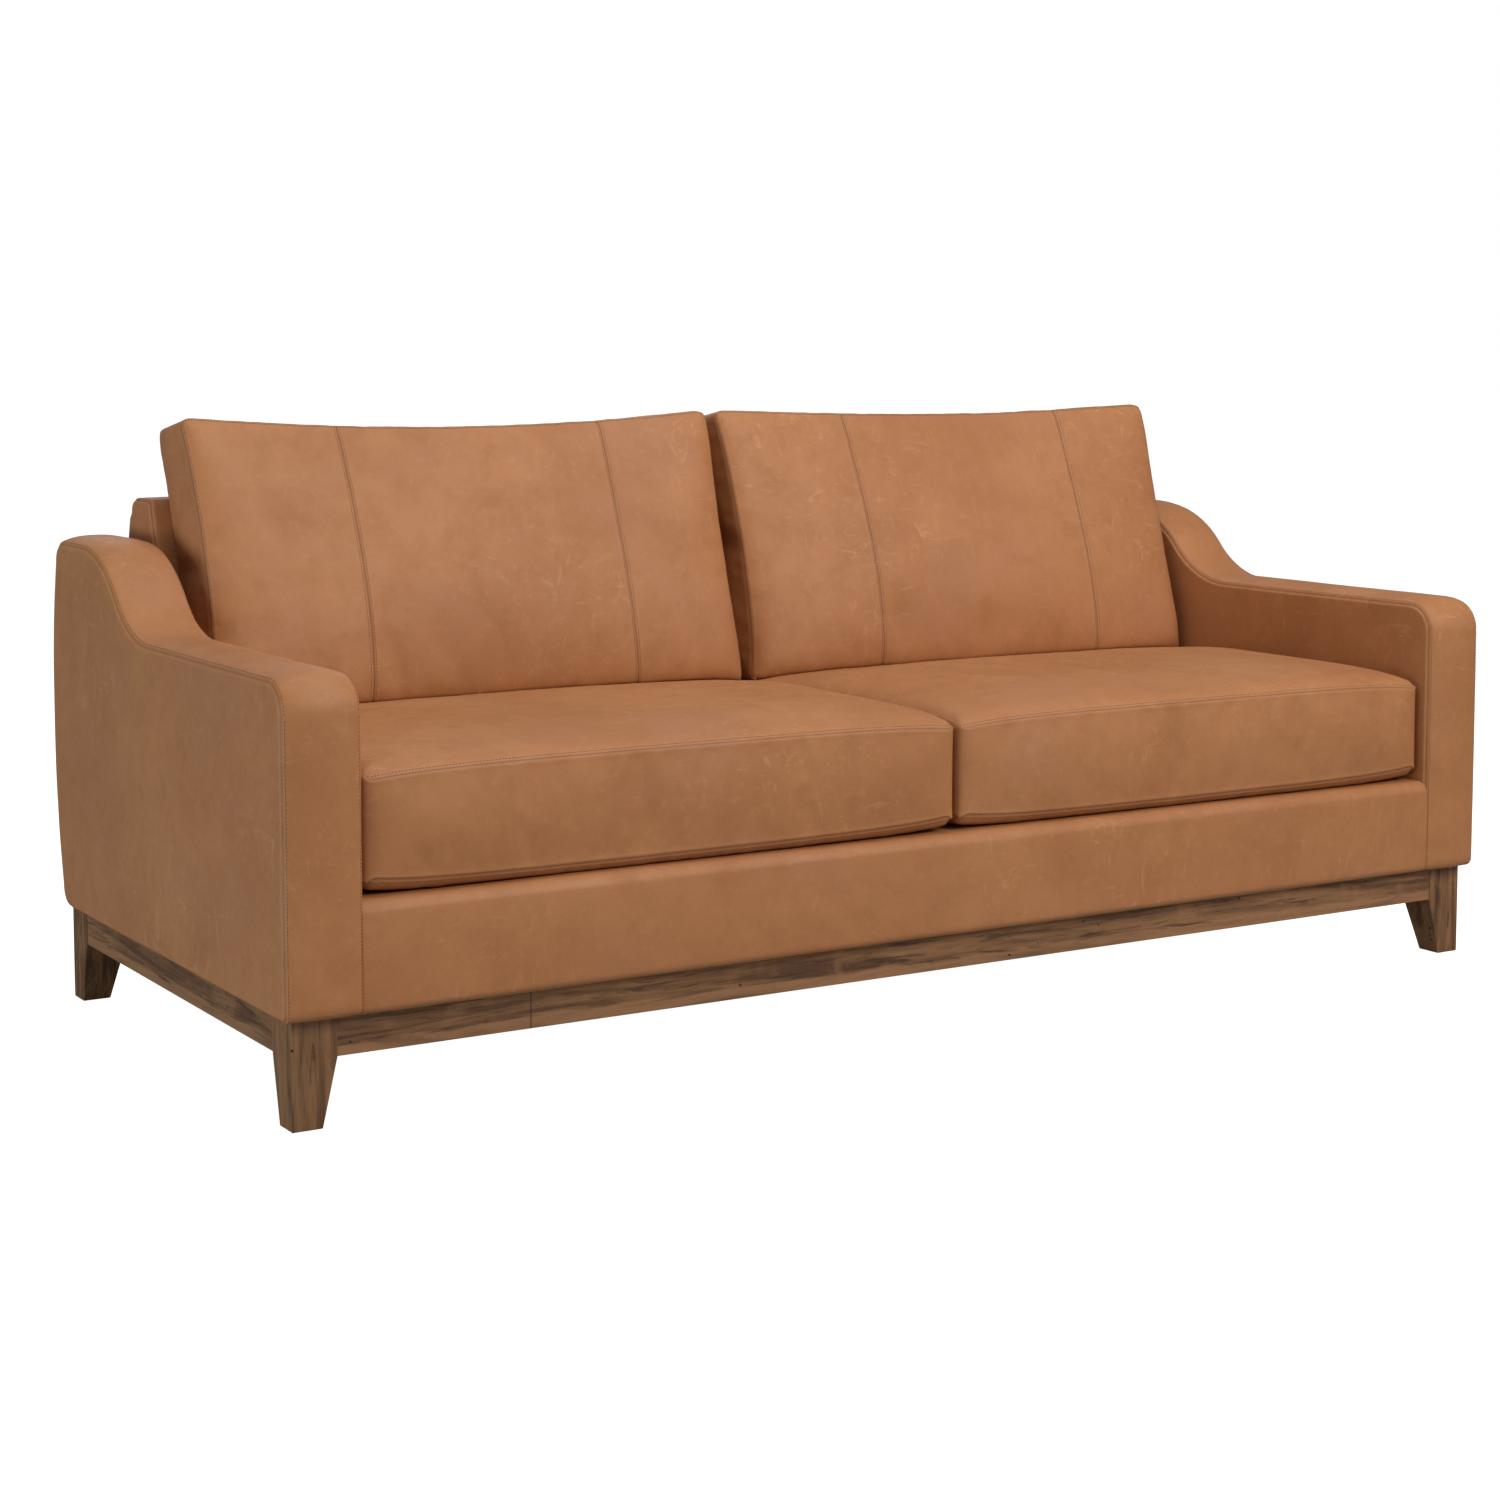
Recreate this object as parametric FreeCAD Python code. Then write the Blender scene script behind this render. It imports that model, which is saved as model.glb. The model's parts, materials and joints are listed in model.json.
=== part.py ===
import FreeCAD, Part

import math
import os

# Three-seat sofa: a leather-covered frame on a wooden base with tapered legs, two loose seat
# cushions and two loose back cushions.
# Millimetres.  -Y is the front, +Z is up, and +X is to the right for someone who faces the front:
# left and right in the names are that person's.  The origin is on the floor, under the middle of the
# sofa's outer box.

V = FreeCAD.Vector

# ---- driving dimensions ----
HALF_WIDTH = 1080.0          # outer face of each arm
FRONT = -480.0               # front face of the arms and of the front border
REAR = 480.0                 # the furthest point of the bowed back
ARM_INNER = 966.0            # inner face of each arm
ARM_HEIGHT = 602.0           # flat part of the arm
ARM_REAR_HEIGHT = 729.0      # arm where it meets the back
BACK_TOP = 797.0             # top of the fixed back
BACK_HALF_WIDTH = 964.0
DECK_TOP = 305.0             # what the seat cushions lie on
COVER_BOTTOM = 154.0         # lowest leather, just clear of the wooden base
BASE_TOP = 150.0

# wooden base
BASE_HALF_WIDTH = 1065.0
BASE_FRONT = -463.0
BASE_REAR = 449.0
LEG_TOP_SIZE = 66.0
LEG_FOOT_SIZE = 44.0
RAIL_HEIGHT = 54.0
RAIL_THICKNESS = 28.0
RAIL_SETBACK = 2.0           # how far the rails lie behind the legs' faces
TENON_LENGTH = 28.0
TENON_THICKNESS = 10.0
TENON_SHOULDER = 10.0        # above and below each tenon
EASED_EDGE = 1.5             # rounding of the legs' and rails' long edges
GLIDE_HEIGHT = 1.5
GLIDE_RADIUS = 13.0
GLIDE_NAIL_RADIUS = 1.5
GLIDE_NAIL_LENGTH = 15.0
BRACE_WIDTH = 70.0
BRACE_HEIGHT = 40.0
BRACE_CENTRES = (-520.0, 0.0, 520.0)
BLOCK_REACH = 50.0           # how far a corner block runs along each rail past the leg
BLOCK_BOTTOM = 112.0
BLOCK_TOP = 147.0
SCREW_RADIUS = 2.0
SCREW_HEAD_RADIUS = 4.0
SCREW_LENGTH = 36.0
SCREW_HEAD_DEPTH = 2.5
BOLT_RADIUS = 4.0
BOLT_HEAD_RADIUS = 8.0
BOLT_HEAD_HEIGHT = 6.0
BOLT_TOP = 200.0
BOLT_CENTRES = (-760.0, 0.0, 760.0)
BOLT_LINES = (-447.0, 428.0)
BOLT_CLEARANCE = 0.1
BRACE_DROP = 1.0             # the braces stay below the dust cover
DUST_COVER = 1.0
DUST_COVER_MARGIN = 40.0

# layers of the upholstery, from the outside in
LEATHER = 2.0
PADDING = 10.0
BOARD = 12.0
SKIN = LEATHER + PADDING
TURN_UNDER = 18.0            # leather and padding turned under the arm

# arm outline
ARM_FRONT_RADIUS = 46.0
ARM_TOE_RADIUS = 12.0
ARM_HEEL_RADIUS = 34.0
ARM_REAR_RADIUS = 30.0
SLOPE_START = 35.0           # where the flat arm begins to rise
SLOPE_ANGLE = math.radians(47.0)
SLOPE_LOWER_RADIUS = 190.0
ARM_POST_DEPTH = 45.0
ARM_POST_FRONTS = (-455.0, -20.0, 340.0)
BOW_RADIUS = 1180.0          # bow of the sofa's rear, seen from the side
BOW_HEIGHT = 450.0           # height of the bow's furthest point

# fixed back
BACK_LEAN = math.radians(15.5)
BACK_FACE_TOP = 340.0        # inside face of the back at BACK_TOP
BACK_PADDING = 20.0
BACK_RAIL_HALF_WIDTH = 950.0
WEBBING = 2.0
WEBBING_WIDTH = 50.0
WEBBING_CENTRES = (-800.0, -600.0, -400.0, -200.0, 0.0, 200.0, 400.0, 600.0, 800.0)
STILE_THICKNESS = 28.0
STILE_FACES = (-950.0, -322.0, 294.0, 922.0)
STILE_BOTTOM = 210.0
STILE_FRONT = 208.0
TOP_RAIL_HEIGHT = 45.0

# seat suspension
SEAT_RAIL_THICKNESS = 28.0
SEAT_RAIL_TOP = 275.0
REAR_RAIL_BOTTOM = 200.0
END_RAIL_THICKNESS = 26.0
SPRING_RADIUS = 1.9
SPRING_HEIGHT = 280.0
SPRING_PITCH = 34.0
SPRING_BAR = 28.0
SPRING_LOOPS = 19
SPRING_FRONT = -454.0
SPRING_CENTRES = tuple(side * x for side in (-1, 1) for x in (110.0, 290.0, 470.0, 650.0, 830.0))
CLIP_WIDTH = 18.0
CLIP_DEPTH = 14.0
CLIP_HEIGHT = 10.0
CLIP_CLEARANCE = 0.3
TIE_WIRE_RADIUS = 1.5
TIE_WIRE_LINES = (-250.0, 20.0)
DECK_PAD_BOTTOM = 287.0
DECK_FRONT = -400.0
DECK_REAR = 200.0
DECK_HALF_WIDTH = 965.0
FRONT_ROLL_RADIUS = 18.0

# loose cushions
SEAT_OUTER = 962.0
SEAT_INNER = 1.5
SEAT_FRONT = -472.0
SEAT_BOTTOM = 307.0
SEAT_EDGE_TOP = 472.0        # front and rear edges of the crowned top
SEAT_CROWN_TOP = 496.0
SEAT_RADIUS = 20.0
PILLOW_OUTER = 945.0
PILLOW_INNER = 9.0
PILLOW_BOTTOM = 480.0
PILLOW_TOP = 928.0
PILLOW_THICKNESS = 113.0
PILLOW_CROWN = 24.0          # how far its face bulges forwards
PILLOW_GAP = 1.0             # between a back cushion and the fixed back
PILLOW_RADIUS = 16.0
SEAT_ZIP_HEIGHT = 395.0
BACK_ZIP_Y = 222.0
ZIP_START = 60.0
ZIP_END = 890.0
ZIP_STEM = 1.2
ZIP_STEM_HEIGHT = 1.5
ZIP_HEAD = 5.0
ZIP_HEAD_HEIGHT = 1.6
SLIDER_LENGTH = 12.0
SLIDER_WIDTH = 9.0
SLIDER_PLATE = 1.0
SLIDER_GAP = 0.25
PULL_LENGTH = 24.0
PULL_WIDTH = 6.0
PULL_INSET = 2.0             # from the slider's end to the pull's, and from the pull's to its eye
PULL_EYE_RADIUS = 1.5


# ---- helpers ----
def box(x0, x1, y0, y1, z0, z1):
    return Part.makeBox(x1 - x0, y1 - y0, z1 - z0, V(x0, y0, z0))


def rod(start, direction, radius, length):
    return Part.makeCylinder(radius, length, start, direction)


def side_point(y, z):
    return V(0, y, z)


def side_face(path):
    """Face in the YZ plane.  A path entry is a point (y, z), or (middle, end) for an arc."""
    edges = []
    here = side_point(*path[0])
    for entry in path[1:] + [path[0]]:
        if isinstance(entry[0], tuple):
            middle, end = (side_point(*point) for point in entry)
            edges.append(Part.Arc(here, middle, end).toShape())
        else:
            end = side_point(*entry)
            if end.isEqual(here, 1e-6):
                continue
            edges.append(Part.LineSegment(here, end).toShape())
        here = end
    return Part.Face(Part.Wire(edges))


def across(face, x0, x1):
    """Extrude a YZ face from x0 to x1."""
    moved = face.copy()
    moved.translate(V(x0, 0, 0))
    return moved.extrude(V(x1 - x0, 0, 0))


def inset_face(face, distance):
    return Part.Face(face.OuterWire.makeOffset2D(-distance))


def arc_entry(centre, radius, start_angle, end_angle):
    """Arc for side_face, with its angles in radians from +Y towards +Z."""
    middle_angle = (start_angle + end_angle) / 2
    points = []
    for angle in (middle_angle, end_angle):
        points.append((centre[0] + radius * math.cos(angle), centre[1] + radius * math.sin(angle)))
    return tuple(points)


def eased(shape, edges):
    return shape.makeFillet(EASED_EDGE, edges)


def edges_along(shape, direction):
    return [edge for edge in shape.Edges if abs(edge.tangentAt(0).dot(direction)) > 0.99]


def other_side(shape):
    return shape.mirror(V(0, 0, 0), V(1, 0, 0))


def group(shapes):
    return Part.makeCompound(shapes)


def save(name, shape):
    if shape.ShapeType == "Compound" and len(shape.Solids) == 1:
        shape = shape.Solids[0]
    for solid in shape.Solids:
        if not solid.isValid() or solid.Volume <= 0:
            raise ValueError(name + " has a bad solid")
    shape.exportStep("parts/" + name + ".step")


def save_pair(name, right):
    """Save a piece of the +X side and its mirror image."""
    save(name + "_right", right)
    save(name + "_left", other_side(right))


# ---- outlines ----
def rear_y(z, inset=0.0):
    """Bowed rear face of the sofa at height z, moved inwards by inset."""
    radius = BOW_RADIUS - inset
    return REAR - BOW_RADIUS + math.sqrt(radius ** 2 - (z - BOW_HEIGHT) ** 2)


def rear_arc(z_from, z_to, inset=0.0):
    middle = (z_from + z_to) / 2
    return (rear_y(middle, inset), middle), (rear_y(z_to, inset), z_to)


def back_y(z, depth=0.0):
    """Inside face of the leaning back at height z, moved into the back by depth."""
    return BACK_FACE_TOP - (BACK_TOP - z) * math.tan(BACK_LEAN) + depth / math.cos(BACK_LEAN)


def arm_face():
    """Side view of the arm: flat, then an S-shaped rise to the back."""
    turn = SLOPE_ANGLE
    rise = ARM_REAR_HEIGHT - ARM_HEIGHT
    upper_radius = rise / (1 - math.cos(turn)) - SLOPE_LOWER_RADIUS
    slope_end = SLOPE_START + (SLOPE_LOWER_RADIUS + upper_radius) * math.sin(turn)
    quarter = math.pi / 2
    rear_top = ARM_REAR_HEIGHT - ARM_REAR_RADIUS
    heel_top = COVER_BOTTOM + ARM_HEEL_RADIUS
    corner_cut = ARM_REAR_RADIUS * (1 - math.sqrt(0.5))
    heel_cut = ARM_HEEL_RADIUS * (1 - math.sqrt(0.5))
    return side_face([
        (FRONT, COVER_BOTTOM + ARM_TOE_RADIUS),
        (FRONT, ARM_HEIGHT - ARM_FRONT_RADIUS),
        arc_entry((FRONT + ARM_FRONT_RADIUS, ARM_HEIGHT - ARM_FRONT_RADIUS),
                  ARM_FRONT_RADIUS, math.pi, quarter),
        (SLOPE_START, ARM_HEIGHT),
        arc_entry((SLOPE_START, ARM_HEIGHT + SLOPE_LOWER_RADIUS),
                  SLOPE_LOWER_RADIUS, -quarter, -quarter + turn),
        arc_entry((slope_end, ARM_REAR_HEIGHT - upper_radius),
                  upper_radius, quarter + turn, quarter),
        (rear_y(rear_top) - ARM_REAR_RADIUS, ARM_REAR_HEIGHT),
        ((rear_y(rear_top) - corner_cut, ARM_REAR_HEIGHT - corner_cut),
         (rear_y(rear_top), rear_top)),
        rear_arc(rear_top, heel_top),
        ((rear_y(heel_top) - heel_cut, COVER_BOTTOM + heel_cut),
         (rear_y(heel_top) - ARM_HEEL_RADIUS, COVER_BOTTOM)),
        (FRONT + ARM_TOE_RADIUS, COVER_BOTTOM),
        arc_entry((FRONT + ARM_TOE_RADIUS, COVER_BOTTOM + ARM_TOE_RADIUS),
                  ARM_TOE_RADIUS, -quarter, -math.pi),
    ])


def back_layer(depth_0, depth_1, z0, z1, x0, x1):
    """Flat layer parallel to the inside face of the back."""
    face = side_face([
        (back_y(z0, depth_0), z0),
        (back_y(z1, depth_0), z1),
        (back_y(z1, depth_1), z1),
        (back_y(z0, depth_1), z0),
    ])
    return across(face, x0, x1)


# ---- wooden base ----
def leg_solid():
    """Front right leg: its two outer faces are upright and its two inner faces taper."""
    rail_bottom = BASE_TOP - RAIL_HEIGHT
    outer_x = BASE_HALF_WIDTH
    outer_y = BASE_FRONT

    def square(size, z):
        corners = [V(outer_x - size, outer_y, z), V(outer_x, outer_y, z),
                   V(outer_x, outer_y + size, z), V(outer_x - size, outer_y + size, z)]
        return Part.makePolygon(corners + corners[:1])

    taper = Part.makeLoft([square(LEG_FOOT_SIZE, GLIDE_HEIGHT), square(LEG_TOP_SIZE, rail_bottom)], True)
    post = box(outer_x - LEG_TOP_SIZE, outer_x, outer_y, outer_y + LEG_TOP_SIZE, rail_bottom, BASE_TOP)
    leg = taper.fuse(post).removeSplitter()
    return eased(leg, leg.Edges)


def glide_solid():
    centre_x = BASE_HALF_WIDTH - LEG_FOOT_SIZE / 2
    centre_y = BASE_FRONT + LEG_FOOT_SIZE / 2
    disc = rod(V(centre_x, centre_y, 0), V(0, 0, 1), GLIDE_RADIUS, GLIDE_HEIGHT)
    nail = rod(V(centre_x, centre_y, 0), V(0, 0, 1), GLIDE_NAIL_RADIUS, GLIDE_HEIGHT + GLIDE_NAIL_LENGTH)
    return disc.fuse(nail).removeSplitter()


def to_rear(shape):
    """Mirror a piece of the front of the base to its rear."""
    return shape.mirror(V(0, (BASE_FRONT + BASE_REAR) / 2, 0), V(0, 1, 0))


def front_rail_solid():
    """Front rail with a tenon at each end."""
    end = BASE_HALF_WIDTH - LEG_TOP_SIZE
    y0 = BASE_FRONT + RAIL_SETBACK
    z0 = BASE_TOP - RAIL_HEIGHT
    rail = box(-end, end, y0, y0 + RAIL_THICKNESS, z0, BASE_TOP)
    rail = eased(rail, edges_along(rail, V(1, 0, 0)))
    tenon_y = y0 + (RAIL_THICKNESS - TENON_THICKNESS) / 2
    tenons = box(-end - TENON_LENGTH, end + TENON_LENGTH, tenon_y, tenon_y + TENON_THICKNESS,
                 z0 + TENON_SHOULDER, BASE_TOP - TENON_SHOULDER)
    return rail.fuse(tenons).removeSplitter()


def side_rail_solid():
    """Right rail with a tenon at each end."""
    y0 = BASE_FRONT + LEG_TOP_SIZE
    y1 = BASE_REAR - LEG_TOP_SIZE
    x1 = BASE_HALF_WIDTH - RAIL_SETBACK
    z0 = BASE_TOP - RAIL_HEIGHT
    rail = box(x1 - RAIL_THICKNESS, x1, y0, y1, z0, BASE_TOP)
    rail = eased(rail, edges_along(rail, V(0, 1, 0)))
    tenon_x = x1 - (RAIL_THICKNESS + TENON_THICKNESS) / 2
    tenons = box(tenon_x, tenon_x + TENON_THICKNESS, y0 - TENON_LENGTH, y1 + TENON_LENGTH,
                 z0 + TENON_SHOULDER, BASE_TOP - TENON_SHOULDER)
    return rail.fuse(tenons).removeSplitter()


def corner_block_solid():
    """Block across the front right corner, notched around the leg."""
    x = BASE_HALF_WIDTH
    y = BASE_FRONT
    near = RAIL_SETBACK + RAIL_THICKNESS
    leg = LEG_TOP_SIZE
    far = leg + BLOCK_REACH
    corners = [V(x - leg, y + near, BLOCK_BOTTOM), V(x - far, y + near, BLOCK_BOTTOM),
               V(x - near, y + far, BLOCK_BOTTOM), V(x - near, y + leg, BLOCK_BOTTOM),
               V(x - leg, y + leg, BLOCK_BOTTOM)]
    outline = Part.Face(Part.makePolygon(corners + corners[:1]))
    return outline.extrude(V(0, 0, BLOCK_TOP - BLOCK_BOTTOM))


def corner_screws(head_depth=SCREW_HEAD_DEPTH):
    """Two screws through the front right corner block, one into each rail."""
    middle_z = (BLOCK_BOTTOM + BLOCK_TOP) / 2
    along = LEG_TOP_SIZE + BLOCK_REACH / 2
    tip = RAIL_SETBACK + RAIL_THICKNESS - SCREW_LENGTH / 2
    head = tip + SCREW_LENGTH
    into_front = (V(BASE_HALF_WIDTH - along, BASE_FRONT + tip, middle_z),
                  V(BASE_HALF_WIDTH - along, BASE_FRONT + head, middle_z), V(0, 1, 0))
    into_side = (V(BASE_HALF_WIDTH - tip, BASE_FRONT + along, middle_z),
                 V(BASE_HALF_WIDTH - head, BASE_FRONT + along, middle_z), V(-1, 0, 0))
    screws = []
    for start, seat, direction in (into_front, into_side):
        shank = rod(start, direction, SCREW_RADIUS, SCREW_LENGTH)
        head_disc = rod(seat, direction, SCREW_HEAD_RADIUS, head_depth)
        screws.append(shank.fuse(head_disc).Solids[0])
    return screws


def screw_holes():
    """Counterbored holes for corner_screws, open all the way out of the block."""
    return group(corner_screws(BLOCK_REACH))


def all_corners(shapes):
    """The given front right pieces and their copies at the other three corners."""
    front = shapes + [other_side(shape) for shape in shapes]
    return front + [to_rear(shape) for shape in front]


def bolt_places():
    return [(x, y) for x in BOLT_CENTRES for y in BOLT_LINES]


def bolt_solid(x, y, clearance=0.0):
    z0 = BASE_TOP - RAIL_HEIGHT
    shank = rod(V(x, y, z0), V(0, 0, 1), BOLT_RADIUS + clearance, BOLT_TOP - z0)
    head = rod(V(x, y, z0), V(0, 0, 1), BOLT_HEAD_RADIUS + clearance, BOLT_HEAD_HEIGHT)
    return shank.fuse(head).removeSplitter()


def build_base():
    bolt_holes = group([bolt_solid(x, y, BOLT_CLEARANCE) for x, y in bolt_places()])
    all_screw_holes = group(all_corners([screw_holes()]))
    front = front_rail_solid()
    side = side_rail_solid()
    rails = {
        "base_rail_front": front,
        "base_rail_rear": to_rear(front),
        "base_rail_right": side,
        "base_rail_left": other_side(side),
    }
    tenon_space = group(list(rails.values()))
    leg = leg_solid().cut(tenon_space).cut(glide_solid())
    legs = {
        "leg_front_right": leg,
        "leg_front_left": other_side(leg),
        "leg_rear_right": to_rear(leg),
        "leg_rear_left": to_rear(other_side(leg)),
    }
    for name, shape in legs.items():
        save(name, shape)
    for name, shape in rails.items():
        save(name, shape.cut(bolt_holes).cut(all_screw_holes))
    save("floor_glides", group(all_corners([glide_solid()])))

    brace_y0 = BASE_FRONT + RAIL_SETBACK + RAIL_THICKNESS
    brace_y1 = BASE_REAR - RAIL_SETBACK - RAIL_THICKNESS
    brace_top = BASE_TOP - BRACE_DROP
    save("base_cross_braces", group([
        box(x - BRACE_WIDTH / 2, x + BRACE_WIDTH / 2, brace_y0, brace_y1, brace_top - BRACE_HEIGHT, brace_top)
        for x in BRACE_CENTRES]))
    block = corner_block_solid().cut(screw_holes())
    save("base_corner_blocks", group(all_corners([block])))
    save("corner_block_screws", group(all_corners(corner_screws())))
    save("frame_bolts", group([bolt_solid(x, y) for x, y in bolt_places()]))


# ---- arms ----
def build_arms():
    outline = arm_face()
    core_face = inset_face(outline, SKIN)
    foot_y0 = FRONT + TURN_UNDER
    foot_y1 = rear_y(COVER_BOTTOM) - ARM_HEEL_RADIUS - TURN_UNDER / 2
    under = box(0, HALF_WIDTH, foot_y0, foot_y1, 0, COVER_BOTTOM + SKIN + 1)
    # the seat platform is fixed straight to the inner board, so the soft layers stop above it
    platform = box(0, ARM_INNER + SKIN, FRONT + SKIN, STILE_FRONT, 0, DECK_PAD_BOTTOM)

    save_pair("arm_outer_cover", across(outline, HALF_WIDTH - LEATHER, HALF_WIDTH))
    save_pair("arm_inner_cover", across(outline, ARM_INNER, ARM_INNER + LEATHER).cut(platform))
    band_ring = outline.cut(inset_face(outline, LEATHER))
    band = across(band_ring, ARM_INNER + LEATHER, HALF_WIDTH - LEATHER)
    save_pair("arm_band", band.cut(under).cut(platform))
    padding = across(inset_face(outline, LEATHER), ARM_INNER + LEATHER, HALF_WIDTH - LEATHER)
    core = across(core_face, ARM_INNER + SKIN, HALF_WIDTH - SKIN)
    save_pair("arm_padding", padding.cut(core).cut(under).cut(platform))

    def structure(x0, x1):
        """Slice of the arm's inside that runs down through the open underside to the base."""
        foot = box(x0, x1, foot_y0 + 1, foot_y1 - 1, BASE_TOP, COVER_BOTTOM + 2 * SKIN)
        return across(core_face, x0, x1).fuse(foot).removeSplitter().Solids[0]

    post_x0 = ARM_INNER + SKIN + BOARD
    post_x1 = HALF_WIDTH - SKIN - BOARD
    save_pair("arm_inner_board", structure(ARM_INNER + SKIN, post_x0))
    save_pair("arm_outer_board", structure(post_x1, HALF_WIDTH - SKIN))
    inside = structure(post_x0, post_x1)
    posts = []
    for y in ARM_POST_FRONTS:
        upright = box(post_x0, post_x1, y, y + ARM_POST_DEPTH, BASE_TOP, ARM_REAR_HEIGHT)
        posts.append(upright.common(inside).Solids[0])
    save_pair("arm_posts", group(posts))


# ---- seat platform ----
def spring_wire():
    """Zigzag spring about x = 0, running back from SPRING_FRONT."""
    edges = []
    half = SPRING_BAR / 2
    side = 1
    y = SPRING_FRONT
    for loop in range(SPRING_LOOPS + 1):
        start = V(-side * half, y, SPRING_HEIGHT)
        end = V(side * half, y, SPRING_HEIGHT)
        edges.append(Part.LineSegment(start, end).toShape())
        if loop < SPRING_LOOPS:
            tip = V(side * (half + SPRING_PITCH / 2), y + SPRING_PITCH / 2, SPRING_HEIGHT)
            after = V(side * half, y + SPRING_PITCH, SPRING_HEIGHT)
            edges.append(Part.Arc(end, tip, after).toShape())
        y += SPRING_PITCH
        side = -side
    section = Part.Wire(Part.makeCircle(SPRING_RADIUS, V(-half, SPRING_FRONT, SPRING_HEIGHT), V(1, 0, 0)))
    return Part.Wire(edges).makePipeShell([section], True, True)


def spring_clip(y):
    """Clip about x = 0 that holds the end bar of a spring to a rail's top."""
    body = box(-CLIP_WIDTH / 2, CLIP_WIDTH / 2, y - CLIP_DEPTH / 2, y + CLIP_DEPTH / 2,
               SEAT_RAIL_TOP, SEAT_RAIL_TOP + CLIP_HEIGHT)
    hole = rod(V(-CLIP_WIDTH, y, SPRING_HEIGHT), V(1, 0, 0), SPRING_RADIUS + CLIP_CLEARANCE, 2 * CLIP_WIDTH)
    return body.cut(hole)


def at_x(shape, x):
    moved = shape.copy()
    moved.translate(V(x, 0, 0))
    return moved


def build_seat():
    rail_end = ARM_INNER + SKIN
    front_y0 = FRONT + SKIN
    front_y1 = front_y0 + SEAT_RAIL_THICKNESS
    bolt_holes = group([bolt_solid(x, y, BOLT_CLEARANCE) for x, y in bolt_places()])
    front_rail = box(-rail_end, rail_end, front_y0, front_y1, BASE_TOP, SEAT_RAIL_TOP)
    save("seat_rail_front", front_rail.cut(bolt_holes))
    rear_y0 = STILE_FRONT - SEAT_RAIL_THICKNESS
    save("seat_rail_rear", box(-rail_end, rail_end, rear_y0, STILE_FRONT, REAR_RAIL_BOTTOM, SEAT_RAIL_TOP))
    end_rail = box(rail_end - END_RAIL_THICKNESS, rail_end, front_y1, rear_y0,
                   REAR_RAIL_BOTTOM, SEAT_RAIL_TOP)
    save("seat_end_rails", group([end_rail, other_side(end_rail)]))
    half_brace = BRACE_WIDTH / 2
    save("seat_centre_stretcher", box(-half_brace, half_brace, front_y1, rear_y0,
                                      BASE_TOP, REAR_RAIL_BOTTOM + BRACE_HEIGHT))

    spring = spring_wire()
    rear_bar = SPRING_FRONT + SPRING_LOOPS * SPRING_PITCH
    clips = [spring_clip(SPRING_FRONT), spring_clip(rear_bar)]
    save("seat_springs", group([at_x(spring, x) for x in SPRING_CENTRES]))
    save("spring_clips", group([at_x(clip, x) for x in SPRING_CENTRES for clip in clips]))
    tie_z = SPRING_HEIGHT + SPRING_RADIUS + TIE_WIRE_RADIUS
    save("spring_tie_wires", group([
        rod(V(-rail_end, y, tie_z), V(1, 0, 0), TIE_WIRE_RADIUS, 2 * rail_end) for y in TIE_WIRE_LINES]))

    pad_end = DECK_HALF_WIDTH
    pad_top = DECK_TOP - LEATHER
    save("deck_pad", box(-pad_end, pad_end, DECK_FRONT, DECK_REAR, DECK_PAD_BOTTOM, pad_top))
    save("deck_cloth", box(-pad_end, pad_end, DECK_FRONT, DECK_REAR, pad_top, DECK_TOP))

    # front border: leather and padding over the front rail, rolled over its top
    quarter = math.pi / 2
    roll_centre = (FRONT + FRONT_ROLL_RADIUS, DECK_TOP - FRONT_ROLL_RADIUS)

    def rolled(inset):
        radius = FRONT_ROLL_RADIUS - inset
        return side_face([
            (FRONT + inset, COVER_BOTTOM),
            (FRONT + inset, roll_centre[1]),
            arc_entry(roll_centre, radius, math.pi, quarter),
            (DECK_FRONT, DECK_TOP - inset),
            (DECK_FRONT, DECK_PAD_BOTTOM),
            (front_y0, DECK_PAD_BOTTOM),
            (front_y0, COVER_BOTTOM),
        ])

    padding_face = rolled(LEATHER)
    save("front_border_cover", across(rolled(0.0).cut(padding_face), -pad_end, pad_end))
    save("front_border_padding", across(padding_face, -pad_end, pad_end))

    dust_end = ARM_INNER + 2 * SKIN
    save("dust_cover", box(-dust_end, dust_end, BASE_FRONT + DUST_COVER_MARGIN, BASE_REAR - DUST_COVER_MARGIN,
                           BASE_TOP - DUST_COVER, BASE_TOP))


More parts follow.
